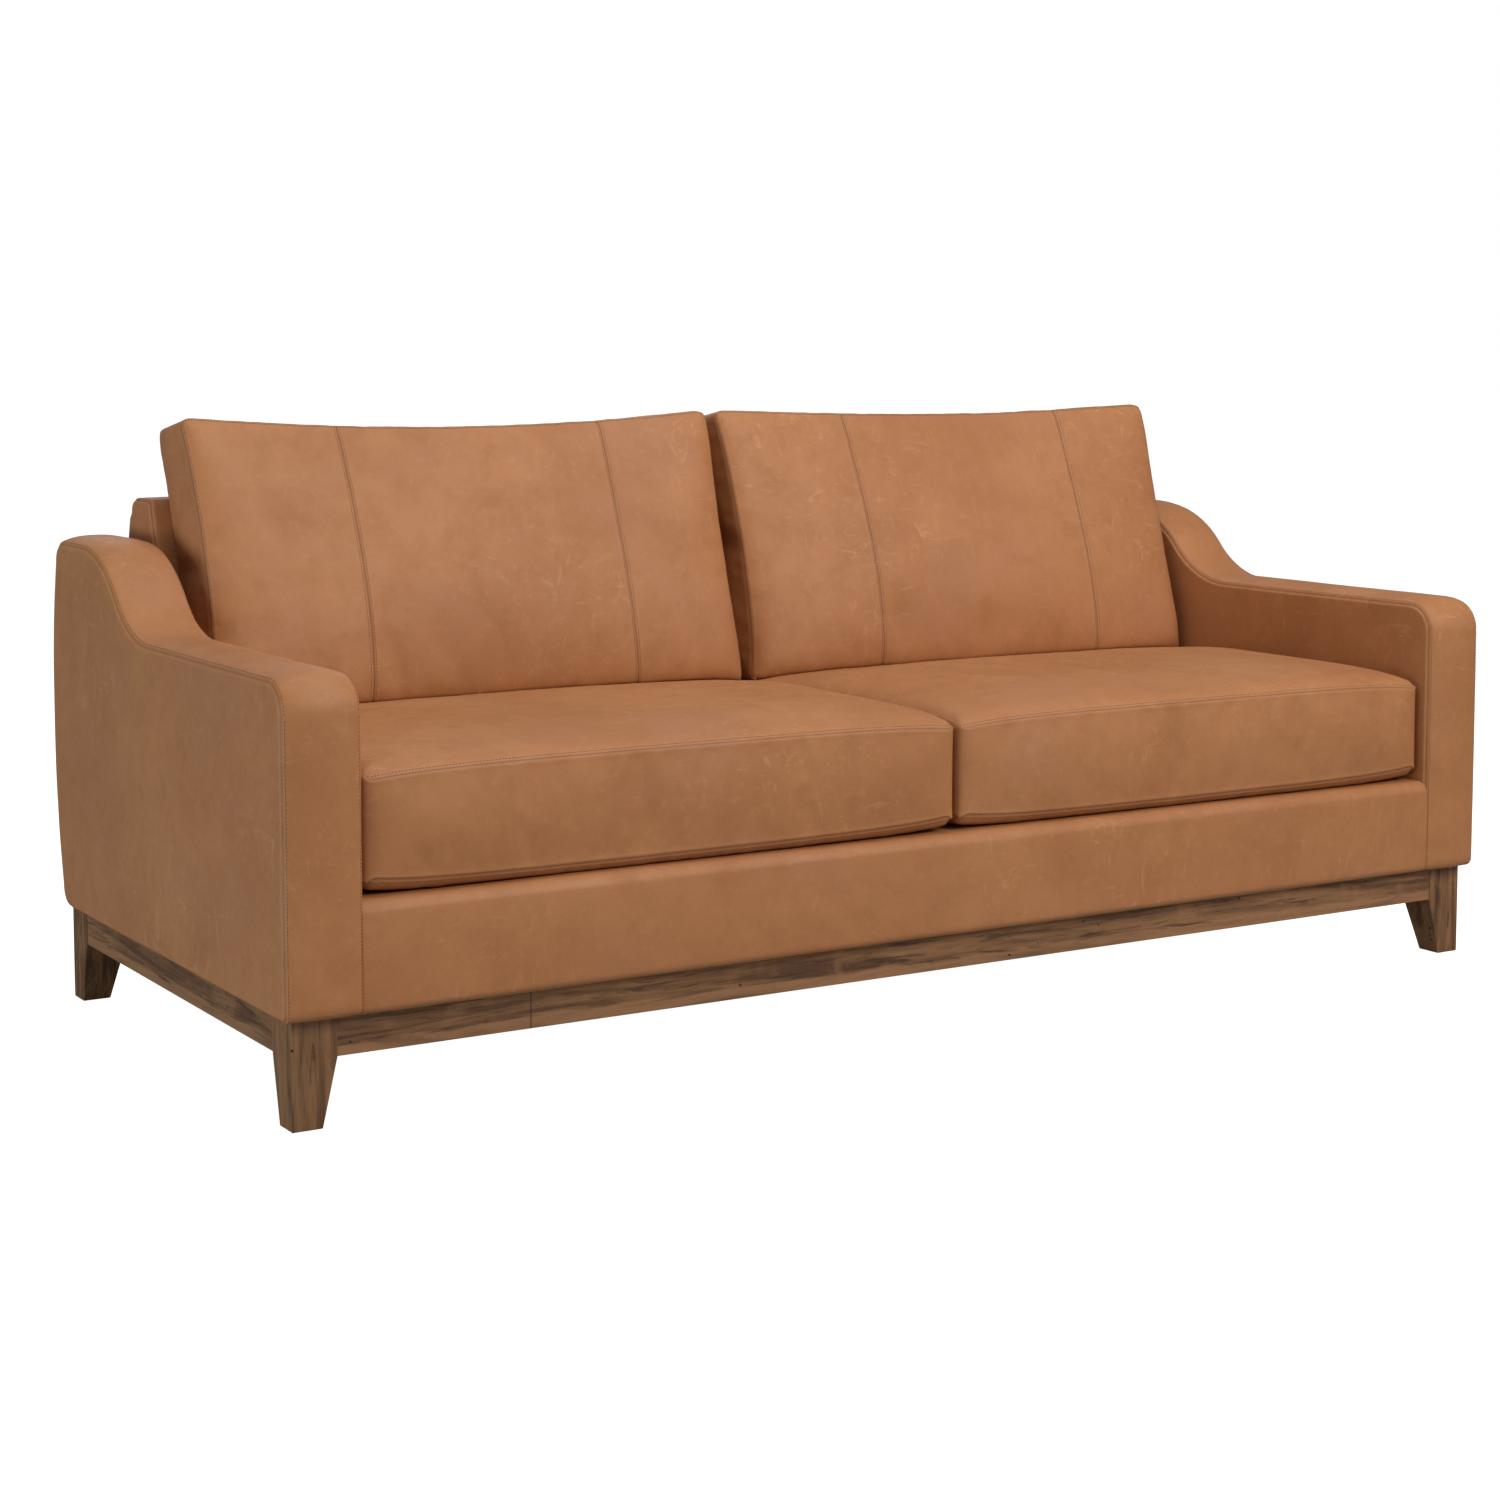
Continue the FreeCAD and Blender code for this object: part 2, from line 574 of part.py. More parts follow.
# ---- fixed back ----
def build_back():
    half = BACK_HALF_WIDTH
    inner_half = half - LEATHER
    face_bottom = SEAT_BOTTOM
    face_top = BACK_TOP - LEATHER
    frame_depth = LEATHER + BACK_PADDING + WEBBING
    top_rail_z1 = BACK_TOP - SKIN
    top_rail_z0 = top_rail_z1 - TOP_RAIL_HEIGHT

    save("inside_back_cover", back_layer(0, LEATHER, face_bottom, face_top, -inner_half, inner_half))
    face_padding = back_layer(LEATHER, LEATHER + BACK_PADDING, face_bottom, top_rail_z1,
                              -inner_half, inner_half)
    top_padding = across(side_face([
        (back_y(top_rail_z1, LEATHER), top_rail_z1),
        (back_y(face_top, LEATHER), face_top),
        (rear_y(face_top, LEATHER), face_top),
        (rear_y(top_rail_z1, LEATHER), top_rail_z1),
    ]), -inner_half, inner_half)
    save("back_padding", group([face_padding, top_padding]))
    save("back_webbing", group([
        back_layer(LEATHER + BACK_PADDING, frame_depth, face_bottom, top_rail_z1,
                   x - WEBBING_WIDTH / 2, x + WEBBING_WIDTH / 2) for x in WEBBING_CENTRES]))

    outside = side_face([
        (rear_y(COVER_BOTTOM), COVER_BOTTOM),
        rear_arc(COVER_BOTTOM, face_top),
        (rear_y(face_top, LEATHER), face_top),
        rear_arc(face_top, COVER_BOTTOM, LEATHER),
    ])
    save("outside_back_cover", across(outside, -inner_half, inner_half))
    top_band = side_face([
        (back_y(face_top), face_top),
        (back_y(BACK_TOP), BACK_TOP),
        (rear_y(BACK_TOP), BACK_TOP),
        (rear_y(face_top), face_top),
    ])
    save("back_top_band", across(top_band, -half, half))
    side_cover = across(side_face([
        (back_y(face_bottom), face_bottom),
        (back_y(face_top), face_top),
        (rear_y(face_top), face_top),
        rear_arc(face_top, COVER_BOTTOM),
        (STILE_FRONT, COVER_BOTTOM),
        (STILE_FRONT, face_bottom),
    ]), inner_half, half)
    save("back_side_covers", group([side_cover, other_side(side_cover)]))

    stile_face = side_face([
        (STILE_FRONT, STILE_BOTTOM),
        (STILE_FRONT, SEAT_RAIL_TOP),
        (back_y(face_bottom, frame_depth), face_bottom),
        (back_y(top_rail_z0, frame_depth), top_rail_z0),
        (rear_y(top_rail_z0, LEATHER), top_rail_z0),
        rear_arc(top_rail_z0, STILE_BOTTOM, LEATHER),
    ])
    save("back_stiles", group([across(stile_face, x, x + STILE_THICKNESS) for x in STILE_FACES]))
    top_rail = side_face([
        (back_y(top_rail_z0, frame_depth), top_rail_z0),
        (back_y(top_rail_z1, frame_depth), top_rail_z1),
        (rear_y(top_rail_z1, LEATHER), top_rail_z1),
        (rear_y(top_rail_z0, LEATHER), top_rail_z0),
    ])
    save("back_top_rail", across(top_rail, -BACK_RAIL_HALF_WIDTH, BACK_RAIL_HALF_WIDTH))

    bottom_y1 = rear_y(BASE_TOP, LEATHER)
    bottom_rail = box(-BACK_RAIL_HALF_WIDTH, BACK_RAIL_HALF_WIDTH, bottom_y1 - RAIL_THICKNESS, bottom_y1,
                      BASE_TOP, STILE_BOTTOM)
    bolt_holes = group([bolt_solid(x, y, BOLT_CLEARANCE) for x, y in bolt_places()])
    save("back_bottom_rail", bottom_rail.cut(bolt_holes))


# ---- loose cushions ----
def seat_cushion(inset):
    """Block with a crowned top."""
    y0 = SEAT_FRONT + inset
    y1 = DECK_REAR - inset
    edge_top = SEAT_EDGE_TOP - inset
    face = side_face([
        (y0, SEAT_BOTTOM + inset),
        (y0, edge_top),
        (((y0 + y1) / 2, SEAT_CROWN_TOP - inset), (y1, edge_top)),
        (y1, SEAT_BOTTOM + inset),
    ])
    shape = across(face, SEAT_INNER + inset, SEAT_OUTER - inset)
    return shape.makeFillet(SEAT_RADIUS - inset, shape.Edges)


def back_cushion(inset):
    """Block that leans with the back, with a bulging face, cut level where it stands on the seat."""
    rear_depth = -PILLOW_GAP - inset
    front_depth = -PILLOW_GAP - PILLOW_THICKNESS + inset
    z0 = PILLOW_BOTTOM + inset
    front_z1 = PILLOW_TOP - inset
    rear_z1 = front_z1 - (rear_depth - front_depth) * math.sin(BACK_LEAN)
    middle_z = (z0 + front_z1) / 2
    face = side_face([
        (back_y(z0, front_depth), z0),
        ((back_y(middle_z, front_depth - PILLOW_CROWN), middle_z), (back_y(front_z1, front_depth), front_z1)),
        (back_y(rear_z1, rear_depth), rear_z1),
        (back_y(z0, rear_depth), z0),
    ])
    shape = across(face, PILLOW_INNER + inset, PILLOW_OUTER - inset)
    return shape.makeFillet(PILLOW_RADIUS - inset, shape.Edges)


def zip_chain(place):
    """Closed zip along +X: a narrow stem that carries the row of teeth.  place sets it on a cushion."""
    stem = box(ZIP_START, ZIP_END, -ZIP_STEM / 2, ZIP_STEM / 2, 0, ZIP_STEM_HEIGHT)
    head = box(ZIP_START, ZIP_END, -ZIP_HEAD / 2, ZIP_HEAD / 2,
               ZIP_STEM_HEIGHT, ZIP_STEM_HEIGHT + ZIP_HEAD_HEIGHT)
    return placed(stem.fuse(head).removeSplitter(), place)


def zip_slider(place):
    """Slider that runs on the chain, with its pull."""
    lip_z = ZIP_STEM_HEIGHT - SLIDER_GAP - SLIDER_PLATE
    top_z = ZIP_STEM_HEIGHT + ZIP_HEAD_HEIGHT + SLIDER_GAP
    x0 = ZIP_START + SLIDER_LENGTH / 2
    x1 = x0 + SLIDER_LENGTH
    body = box(x0, x1, -SLIDER_WIDTH / 2, SLIDER_WIDTH / 2, lip_z, top_z + SLIDER_PLATE)
    channel_half = ZIP_HEAD / 2 + SLIDER_GAP
    channel = box(x0, x1, -channel_half, channel_half, ZIP_STEM_HEIGHT - SLIDER_GAP, top_z)
    slot_half = ZIP_STEM / 2 + SLIDER_GAP
    slot = box(x0, x1, -slot_half, slot_half, lip_z, top_z)
    pull_z = top_z + SLIDER_PLATE
    pull_x = x0 + PULL_INSET
    eye_x = pull_x + PULL_LENGTH - PULL_INSET - 2 * PULL_EYE_RADIUS
    pull = box(pull_x, pull_x + PULL_LENGTH, -PULL_WIDTH / 2, PULL_WIDTH / 2, pull_z, pull_z + SLIDER_PLATE)
    eye = rod(V(eye_x, 0, pull_z), V(0, 0, 1), PULL_EYE_RADIUS, 2 * SLIDER_PLATE)
    return placed(body.cut(channel).cut(slot).fuse(pull).cut(eye).removeSplitter(), place)


def placed(shape, place):
    moved = shape.copy()
    moved.Placement = place
    return moved


def build_cushions():
    seat_zip = FreeCAD.Placement(V(0, DECK_REAR, SEAT_ZIP_HEIGHT), FreeCAD.Rotation(V(1, 0, 0), -90))
    back_zip = FreeCAD.Placement(V(0, BACK_ZIP_Y, PILLOW_BOTTOM), FreeCAD.Rotation(V(1, 0, 0), 180))
    kinds = (("seat_cushion", seat_cushion, seat_zip), ("back_cushion", back_cushion, back_zip))
    for name, solid, place in kinds:
        core = solid(LEATHER)
        cover = solid(0.0).cut(core)
        save_pair(name + "_core", core)
        save_pair(name + "_cover", group([cover, zip_chain(place)]))
        save_pair(name + "_zip_slider", zip_slider(place))


os.makedirs("parts", exist_ok=True)
build_base()
build_arms()
build_seat()
build_back()
build_cushions()
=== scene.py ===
import json
import math

import bmesh
import bpy
import numpy as np
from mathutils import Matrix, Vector, noise
from mathutils.bvhtree import BVHTree
from mathutils.kdtree import KDTree


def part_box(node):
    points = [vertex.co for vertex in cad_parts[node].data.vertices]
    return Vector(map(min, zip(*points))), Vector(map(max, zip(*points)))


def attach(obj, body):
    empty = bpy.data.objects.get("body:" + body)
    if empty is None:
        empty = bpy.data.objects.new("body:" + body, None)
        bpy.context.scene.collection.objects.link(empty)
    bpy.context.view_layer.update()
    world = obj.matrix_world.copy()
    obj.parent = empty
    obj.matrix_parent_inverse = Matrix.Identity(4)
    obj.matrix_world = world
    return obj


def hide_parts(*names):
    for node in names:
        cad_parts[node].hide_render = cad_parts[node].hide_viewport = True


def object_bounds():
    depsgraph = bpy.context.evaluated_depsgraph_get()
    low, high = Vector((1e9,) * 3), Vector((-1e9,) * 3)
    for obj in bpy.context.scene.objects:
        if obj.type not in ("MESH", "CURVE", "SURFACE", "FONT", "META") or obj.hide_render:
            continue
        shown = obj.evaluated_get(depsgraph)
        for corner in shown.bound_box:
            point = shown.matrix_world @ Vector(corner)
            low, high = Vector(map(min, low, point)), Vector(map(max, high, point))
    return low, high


# A leather sofa on a wooden base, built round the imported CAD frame.  Metres, +Z up, front at -Y.

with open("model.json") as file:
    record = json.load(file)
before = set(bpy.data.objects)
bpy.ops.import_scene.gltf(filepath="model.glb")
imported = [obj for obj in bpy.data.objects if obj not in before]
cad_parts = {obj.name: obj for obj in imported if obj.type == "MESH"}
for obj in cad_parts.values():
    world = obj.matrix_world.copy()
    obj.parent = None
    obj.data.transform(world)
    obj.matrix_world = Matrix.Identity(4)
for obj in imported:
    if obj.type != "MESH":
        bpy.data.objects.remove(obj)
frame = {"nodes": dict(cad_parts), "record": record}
cad_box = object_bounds()

SIDES = {"left": -1.0, "right": 1.0}
MM = 0.001

# shape of the upholstery
HEM_DROP = 3 * MM            # the leather bulges down nearly on to the wooden base
SEAM_CORNER = 9 * MM         # rounding of an upholstered edge; its seam runs along the middle
SEAM_DEPTH = 1.1 * MM
LIP_HEIGHT = 0.35 * MM
LIP_PLACE = 4.0 * MM
LIP_WIDTH = 2.2 * MM
STITCH_PITCH = 5.0 * MM
STITCH_LENGTH = 3.4 * MM
STITCH_RADIUS = 0.45 * MM
STITCH_SIDES = 6

# wooden base
STRIP_HEIGHT = 0.121         # top of the rough strip along the rails, measured up the wavy grain
RAIL_JOINT = -0.711          # butt joint in the front rail

# zips: the seat cushions' rear face and the back cushions' underside, from the CAD part
ZIP_FOOT = {"seat": 0.200, "back": 0.480}
ZIP_TOOTH_PITCH = 2.6 * MM
ZIP_REACH = (0.060, 0.890)   # where each chain starts and ends, out from the sofa's middle

# arm outline, as in the CAD part
ARM_HEIGHT = 0.602
ARM_FRONT_RADIUS = 0.046
ARM_TOE_RADIUS = 0.012
ARM_HEEL_RADIUS = 0.034
ARM_REAR_RADIUS = 0.030
SLOPE_START = 0.035
SLOPE_ANGLE = math.radians(47.0)
SLOPE_LOWER_RADIUS = 0.190
BOW_RADIUS = 1.180
BOW_HEIGHT = 0.450
BACK_LEAN = math.radians(15.5)
BACK_FACE_TOP = 0.340
BACK_TOP = 0.797
EDGE_FULLNESS = 0.54         # of a cushion's crown, near its edges
ROLL_REACH = (7 * MM, 15 * MM)    # how quickly the lower and upper panels roll over from their seams
SEAT_SEAMS = (0.322, 0.472)  # heights of the seat cushions' seams
SEAT_SUNK = 10 * MM          # how far the back cushions press the seat cushions down
SEAT_SPLIT = 8 * MM          # how far the gap between the seat cushions lies right of the middle
PILLOW_TOP = 0.930            # of the back cushions before their crown sags
PILLOW_THICKNESS = 0.113
PILLOW_GAP = 0.001
PILLOW_REAR_DROP = 0.020     # its rear top edge lies this far below the front one
PILLOW_SAG = 0.9             # how much more its crown stands out low down than high up
PILLOW_SHIFT = 6 * MM        # both back cushions have slid this far to the right
PILLOW_SINK = 16 * MM        # they stand this far down in the seat's crown
PILLOW_DIP = {"left": 13 * MM, "right": 4 * MM}    # of their slack top edges, in the middle
PANEL_SHARES = (0.266, 0.768)                      # places of a back cushion's two upright seams


# ---------------------------------------------------------------- camera, floor and light
def add_camera():
    camera = bpy.data.objects.new("camera", bpy.data.cameras.new("camera"))
    bpy.context.scene.collection.objects.link(camera)
    camera.location = (-2.41387, -3.82812, 1.03893)
    camera.rotation_euler = (math.radians(90 - 5.28), 0, math.radians(-31.43))
    camera.data.lens = 66.498
    camera.data.sensor_width = 36.0
    camera.data.shift_y = -0.1
    bpy.context.scene.camera = camera


def add_area_light(name, place, target, size, power, color):
    light = bpy.data.objects.new(name, bpy.data.lights.new(name, "AREA"))
    bpy.context.scene.collection.objects.link(light)
    light.data.shape = "RECTANGLE"
    light.data.size = size[0]
    light.data.size_y = size[1]
    light.data.energy = power
    light.data.color = color
    light.location = place
    light.rotation_euler = (Vector(target) - Vector(place)).to_track_quat("-Z", "Y").to_euler()


def add_studio():
    """White surround and floor.  Both look white to the camera and light the sofa more gently."""
    scene = bpy.context.scene
    scene.view_settings.view_transform = "Standard"
    world = bpy.data.worlds.new("studio")
    world.use_nodes = True
    tree = world.node_tree
    background = tree.nodes["Background"]
    background.inputs["Color"].default_value = (0.95, 0.98, 1.0, 1.0)
    background.inputs["Strength"].default_value = 0.25
    white = tree.nodes.new("ShaderNodeBackground")
    white.inputs["Color"].default_value = (1.0, 1.0, 1.0, 1.0)
    seen = tree.nodes.new("ShaderNodeLightPath")
    choice = tree.nodes.new("ShaderNodeMixShader")
    tree.links.new(seen.outputs["Is Camera Ray"], choice.inputs[0])
    tree.links.new(background.outputs[0], choice.inputs[1])
    tree.links.new(white.outputs[0], choice.inputs[2])
    tree.links.new(choice.outputs[0], tree.nodes["World Output"].inputs["Surface"])
    scene.world = world
    middle = (0, 0, 0.4)
    add_area_light("key", (1.4, -4.3, 3.5), middle, (3.2, 2.2), 184, (1.0, 0.97, 0.94))
    add_area_light("top", (-0.2, -0.6, 3.8), middle, (3.4, 2.4), 60, (1.0, 1.0, 1.0))
    add_area_light("left", (-4.6, -0.6, 0.45), middle, (3.0, 0.8), 62, (0.86, 0.97, 1.0))
    add_area_light("rear", (1.5, 4.6, 3.0), middle, (3.2, 2.2), 34, (1.0, 1.0, 1.0))

    mesh = bpy.data.meshes.new("floor")
    reach = 40.0
    mesh.from_pydata([(-reach, -reach, 0), (reach, -reach, 0), (reach, reach, 0), (-reach, reach, 0)],
                     [], [(0, 1, 2, 3)])
    floor = bpy.data.objects.new("floor", mesh)
    scene.collection.objects.link(floor)
    material = bpy.data.materials.new("floor_white")
    material.use_nodes = True
    tree = material.node_tree
    shader = tree.nodes["Principled BSDF"]
    shader.inputs["Base Color"].default_value = (0.40, 0.40, 0.40, 1)
    shader.inputs["Roughness"].default_value = 1.0
    shader.inputs["Specular IOR Level"].default_value = 0.0
    shader.inputs["Emission Color"].default_value = (1, 1, 1, 1)
    seen = tree.nodes.new("ShaderNodeLightPath")
    glow = tree.nodes.new("ShaderNodeMath")
    glow.operation = "MULTIPLY"
    glow.inputs[1].default_value = 1.0
    tree.links.new(seen.outputs["Is Camera Ray"], glow.inputs[0])
    tree.links.new(glow.outputs[0], shader.inputs["Emission Strength"])
    mesh.materials.append(material)


# ---------------------------------------------------------------- materials
def srgb(red, green, blue):
    """Linear colour with alpha from 0-255 display values."""
    linear = []
    for value in (red, green, blue):
        share = value / 255
        linear.append(share / 12.92 if share <= 0.04045 else ((share + 0.055) / 1.055) ** 2.4)
    return (*linear, 1.0)


class Nodes:
    """Short names for building one material's node tree."""

    def __init__(self, name):
        self.material = bpy.data.materials.new(name)
        self.material.use_nodes = True
        self.tree = self.material.node_tree
        self.shader = self.tree.nodes["Principled BSDF"]
        self.place = self.add("ShaderNodeTexCoord").outputs["Object"]

    def add(self, kind, **settings):
        node = self.tree.nodes.new(kind)
        for key, value in settings.items():
            setattr(node, key, value)
        return node

    def link(self, source, target):
        self.tree.links.new(source, target)

    def set(self, node, **values):
        for key, value in values.items():
            socket = node.inputs[key.replace("_", " ")]
            if isinstance(value, bpy.types.NodeSocket):
                self.link(value, socket)
            else:
                socket.default_value = value

    def stretched(self, scale, offset=(0, 0, 0)):
        node = self.add("ShaderNodeMapping")
        self.link(self.place, node.inputs["Vector"])
        node.inputs["Scale"].default_value = scale
        node.inputs["Location"].default_value = offset
        return node.outputs["Vector"]

    def noise(self, scale, detail=3.0, roughness=0.5, distortion=0.0, vector=None):
        node = self.add("ShaderNodeTexNoise")
        self.link(vector or self.place, node.inputs["Vector"])
        self.set(node, Scale=scale, Detail=detail, Roughness=roughness, Distortion=distortion)
        return node.outputs["Fac"]

    def voronoi(self, scale, feature="F1", vector=None):
        node = self.add("ShaderNodeTexVoronoi", feature=feature)
        self.link(vector or self.place, node.inputs["Vector"])
        self.set(node, Scale=scale)
        return node.outputs["Distance"]

    def bent(self, amount, scale, vector=None):
        """Coordinates pushed about by a noise, so that lines drawn with them wander."""
        source = self.add("ShaderNodeTexNoise")
        self.link(vector or self.place, source.inputs["Vector"])
        self.set(source, Scale=scale, Detail=2.0)
        centred = self.add("ShaderNodeVectorMath", operation="SUBTRACT")
        self.link(source.outputs["Color"], centred.inputs[0])
        centred.inputs[1].default_value = (0.5, 0.5, 0.5)
        scaled = self.add("ShaderNodeVectorMath", operation="SCALE")
        self.link(centred.outputs[0], scaled.inputs[0])
        scaled.inputs["Scale"].default_value = amount
        total = self.add("ShaderNodeVectorMath", operation="ADD")
        self.link(vector or self.place, total.inputs[0])
        self.link(scaled.outputs[0], total.inputs[1])
        return total.outputs[0]

    def span(self, value, low, high, to_low=0.0, to_high=1.0):
        node = self.add("ShaderNodeMapRange", interpolation_type="SMOOTHSTEP")
        self.link(value, node.inputs["Value"])
        self.set(node, From_Min=low, From_Max=high, To_Min=to_low, To_Max=to_high)
        return node.outputs["Result"]

    def maths(self, operation, *values):
        node = self.add("ShaderNodeMath", operation=operation)
        for socket, value in zip(node.inputs, values):
            if isinstance(value, bpy.types.NodeSocket):
                self.link(value, socket)
            else:
                socket.default_value = value
        return node.outputs[0]

    def mix(self, share, first, second, blend="MIX"):
        node = self.add("ShaderNodeMix", data_type="RGBA", blend_type=blend)
        for socket, value in ((node.inputs[0], share), (node.inputs[6], first), (node.inputs[7], second)):
            if isinstance(value, bpy.types.NodeSocket):
                self.link(value, socket)
            else:
                socket.default_value = value
        return node.outputs[2]

    def attribute(self, name):
        return self.add("ShaderNodeAttribute", attribute_name=name).outputs["Fac"]

    def bump(self, height, distance, strength=1.0, below=None):
        node = self.add("ShaderNodeBump")
        self.link(height, node.inputs["Height"])
        self.set(node, Distance=distance, Strength=strength)
        if below is not None:
            self.link(below, node.inputs["Normal"])
        return node.outputs["Normal"]

    def finish(self, color, roughness, normal, specular=0.5):
        self.set(self.shader, Base_Color=color, Roughness=roughness, Specular_IOR_Level=specular)
        if normal is not None:
            self.link(normal, self.shader.inputs["Normal"])
        return self.material


def leather_material():
    """Waxed pull-up leather: cloudy tan with darker and rosier patches, pale scuffs and fine creases, with
    painted shade along the seam grooves and a painted highlight on the lips beside them.
    """
    n = Nodes("leather_tan")
    clouds = n.noise(5.0, detail=7.0, roughness=0.66, distortion=0.4)
    patches = n.noise(15.0, detail=7.0, roughness=0.7, distortion=0.3)
    rosy = n.noise(3.4, detail=3.0, vector=n.stretched((1, 1, 1.4), (4.1, 2.2, 7.9)))
    flecks = n.noise(75.0, detail=5.0, roughness=0.7)
    color = n.mix(n.span(clouds, 0.34, 0.66), srgb(162, 106, 64), srgb(172, 116, 73))
    color = n.mix(n.span(patches, 0.46, 0.74, 0.0, 0.5), color, srgb(152, 99, 60))
    color = n.mix(n.span(rosy, 0.52, 0.72, 0.0, 0.5), color, srgb(164, 111, 79))
    color = n.mix(n.span(flecks, 0.52, 0.78, 0.0, 0.4), color, srgb(186, 130, 86))

    # pale scuffs: short stretched strokes at two slants
    for slant, offset in (((1.0, 1.0, 4.5), (1.7, 0.4, 3.2)), ((3.6, 3.6, 1.0), (5.2, 8.1, 0.6))):
        strokes = n.noise(9.0, detail=9.0, roughness=0.78, distortion=1.1, vector=n.stretched(slant, offset))
        color = n.mix(n.span(strokes, 0.63, 0.76, 0.0, 0.30), color, srgb(196, 142, 98))

    # fine pale scratches in loose clusters
    clusters = n.span(n.noise(3.2, detail=4.0, roughness=0.6, vector=n.stretched((1, 1, 1), (6.4, 3.3, 1.9))),
                      0.44, 0.62)
    for slant, offset in (((14.0, 14.0, 52.0), (0.7, 4.4, 2.1)), ((30.0, 30.0, 13.0), (3.9, 1.2, 8.8))):
        fine = n.noise(1.0, detail=6.0, roughness=0.72, distortion=1.6, vector=n.stretched(slant, offset))
        scratch = n.maths("MULTIPLY", n.span(fine, 0.565, 0.66), clusters)
        color = n.mix(n.maths("MULTIPLY", scratch, 0.26), color, srgb(206, 154, 110))

    # fine creases, only in some places
    wander = n.bent(0.045, 15.0)
    crease = n.voronoi(27.0, "DISTANCE_TO_EDGE", vector=wander)
    crease_gate = n.span(n.noise(5.5, detail=3.0, roughness=0.6), 0.54, 0.68)
    crease_line = n.maths("MULTIPLY", n.span(crease, 0.0, 0.045, 1.0, 0.0), crease_gate)
    color = n.mix(n.maths("MULTIPLY", crease_line, 0.11), color, srgb(200, 146, 102))

    seam = n.attribute("seam")
    lip = n.attribute("lip")
    # painted highlight: the leather lightens on the raised lip beside each seam, where it catches the light
    color = n.mix(n.maths("MULTIPLY", lip, 0.22), color, srgb(188, 132, 88))
    # painted shade: the leather darkens along each seam groove, where shade falls into it
    color = n.mix(n.maths("MULTIPLY", seam, 0.62), color, srgb(92, 54, 30))

    pores = n.voronoi(620.0, "SMOOTH_F1")
    grain = n.noise(260.0, detail=3.0, roughness=0.6)
    soft = n.noise(38.0, detail=3.0)
    normal = n.bump(soft, 1.2 * MM, 0.30)
    normal = n.bump(crease_line, 0.4 * MM, 0.30, normal)
    normal = n.bump(grain, 0.25 * MM, 0.5, normal)
    normal = n.bump(pores, 0.22 * MM, 0.6, normal)
    roughness = n.span(patches, 0.3, 0.75, 0.52, 0.64)
    return n.finish(color, roughness, normal, specular=0.34)


def wood_material(name, grain_axis):
    """Weathered brown timber with its grain along one axis: 0 for X, 1 for Y, 2 for Z.  The rails,
    which lie along X or Y, have a rough paler strip along the bottom."""
    n = Nodes(name)

    def along_grain(across, along, offset=0.0):
        scale = [across, across, across]
        scale[grain_axis] = along
        node = n.add("ShaderNodeMapping")
        n.link(n.bent(0.010, 5.0), node.inputs["Vector"])
        node.inputs["Scale"].default_value = scale
        node.inputs["Location"].default_value = (offset, offset, offset)
        return node.outputs["Vector"]

    figure = n.noise(1.0, detail=6.0, roughness=0.62, distortion=0.9, vector=along_grain(36.0, 2.4))
    streaks = n.noise(1.0, detail=4.0, roughness=0.65, distortion=0.6, vector=along_grain(120.0, 9.0, 3.1))
    fibre = n.noise(1.0, detail=3.0, roughness=0.6, vector=along_grain(420.0, 16.0, 7.7))
    blotch = n.noise(11.0, detail=5.0, roughness=0.6, distortion=0.6)
    color = n.mix(n.span(figure, 0.34, 0.64), srgb(88, 59, 37), srgb(138, 99, 65))
    color = n.mix(n.span(blotch, 0.50, 0.72, 0.0, 0.55), color, srgb(150, 109, 73))
    color = n.mix(n.span(streaks, 0.52, 0.68, 0.0, 0.75), color, srgb(60, 40, 27))
    color = n.mix(n.span(fibre, 0.50, 0.72, 0.0, 0.40), color, srgb(66, 45, 31))
    grey = n.noise(7.0, detail=3.0, vector=n.stretched((1, 1, 1), (2.2, 6.1, 4.0)))
    color = n.mix(n.span(grey, 0.56, 0.76, 0.0, 0.35), color, srgb(126, 104, 84))
    rough = n.maths("MULTIPLY", n.span(blotch, 0.35, 0.6), 0.6)
    if grain_axis != 2:
        parts = n.add("ShaderNodeSeparateXYZ")
        n.link(n.place, parts.inputs[0])
        wavy = n.maths("ADD", parts.outputs[2], n.maths("MULTIPLY", streaks, 0.022))
        strip = n.span(wavy, STRIP_HEIGHT, STRIP_HEIGHT + 0.005, 1.0, 0.0)
        paler = n.maths("MULTIPLY", strip, n.span(figure, 0.3, 0.6, 0.25, 0.85))
        color = n.mix(paler, color, srgb(152, 110, 76))
        rough = n.maths("ADD", rough, n.maths("MULTIPLY", strip, 0.7))
    if grain_axis == 0:
        away = n.maths("ABSOLUTE", n.maths("SUBTRACT", parts.outputs[0], RAIL_JOINT))
        joint = n.span(away, 0.5 * MM, 1.6 * MM, 0.75, 0.0)
        color = n.mix(joint, color, srgb(44, 27, 16))
    holes = n.voronoi(34.0, vector=n.bent(0.01, 20.0))
    hole = n.maths("MULTIPLY", n.span(holes, 0.06, 0.09, 1.0, 0.0), n.span(n.noise(4.0), 0.48, 0.55))
    color = n.mix(hole, color, srgb(34, 20, 12))
    chips = n.noise(140.0, detail=4.0, roughness=0.7)
    height = n.maths("SUBTRACT", n.maths("MULTIPLY", streaks, -0.8), hole)
    normal = n.bump(n.maths("MULTIPLY", chips, rough), 1.6 * MM, 0.6)
    normal = n.bump(figure, 1.2 * MM, 0.5, normal)
    normal = n.bump(height, 0.8 * MM, 0.7, normal)
    roughness = n.span(fibre, 0.3, 0.7, 0.60, 0.78)
    return n.finish(color, roughness, normal, specular=0.3)


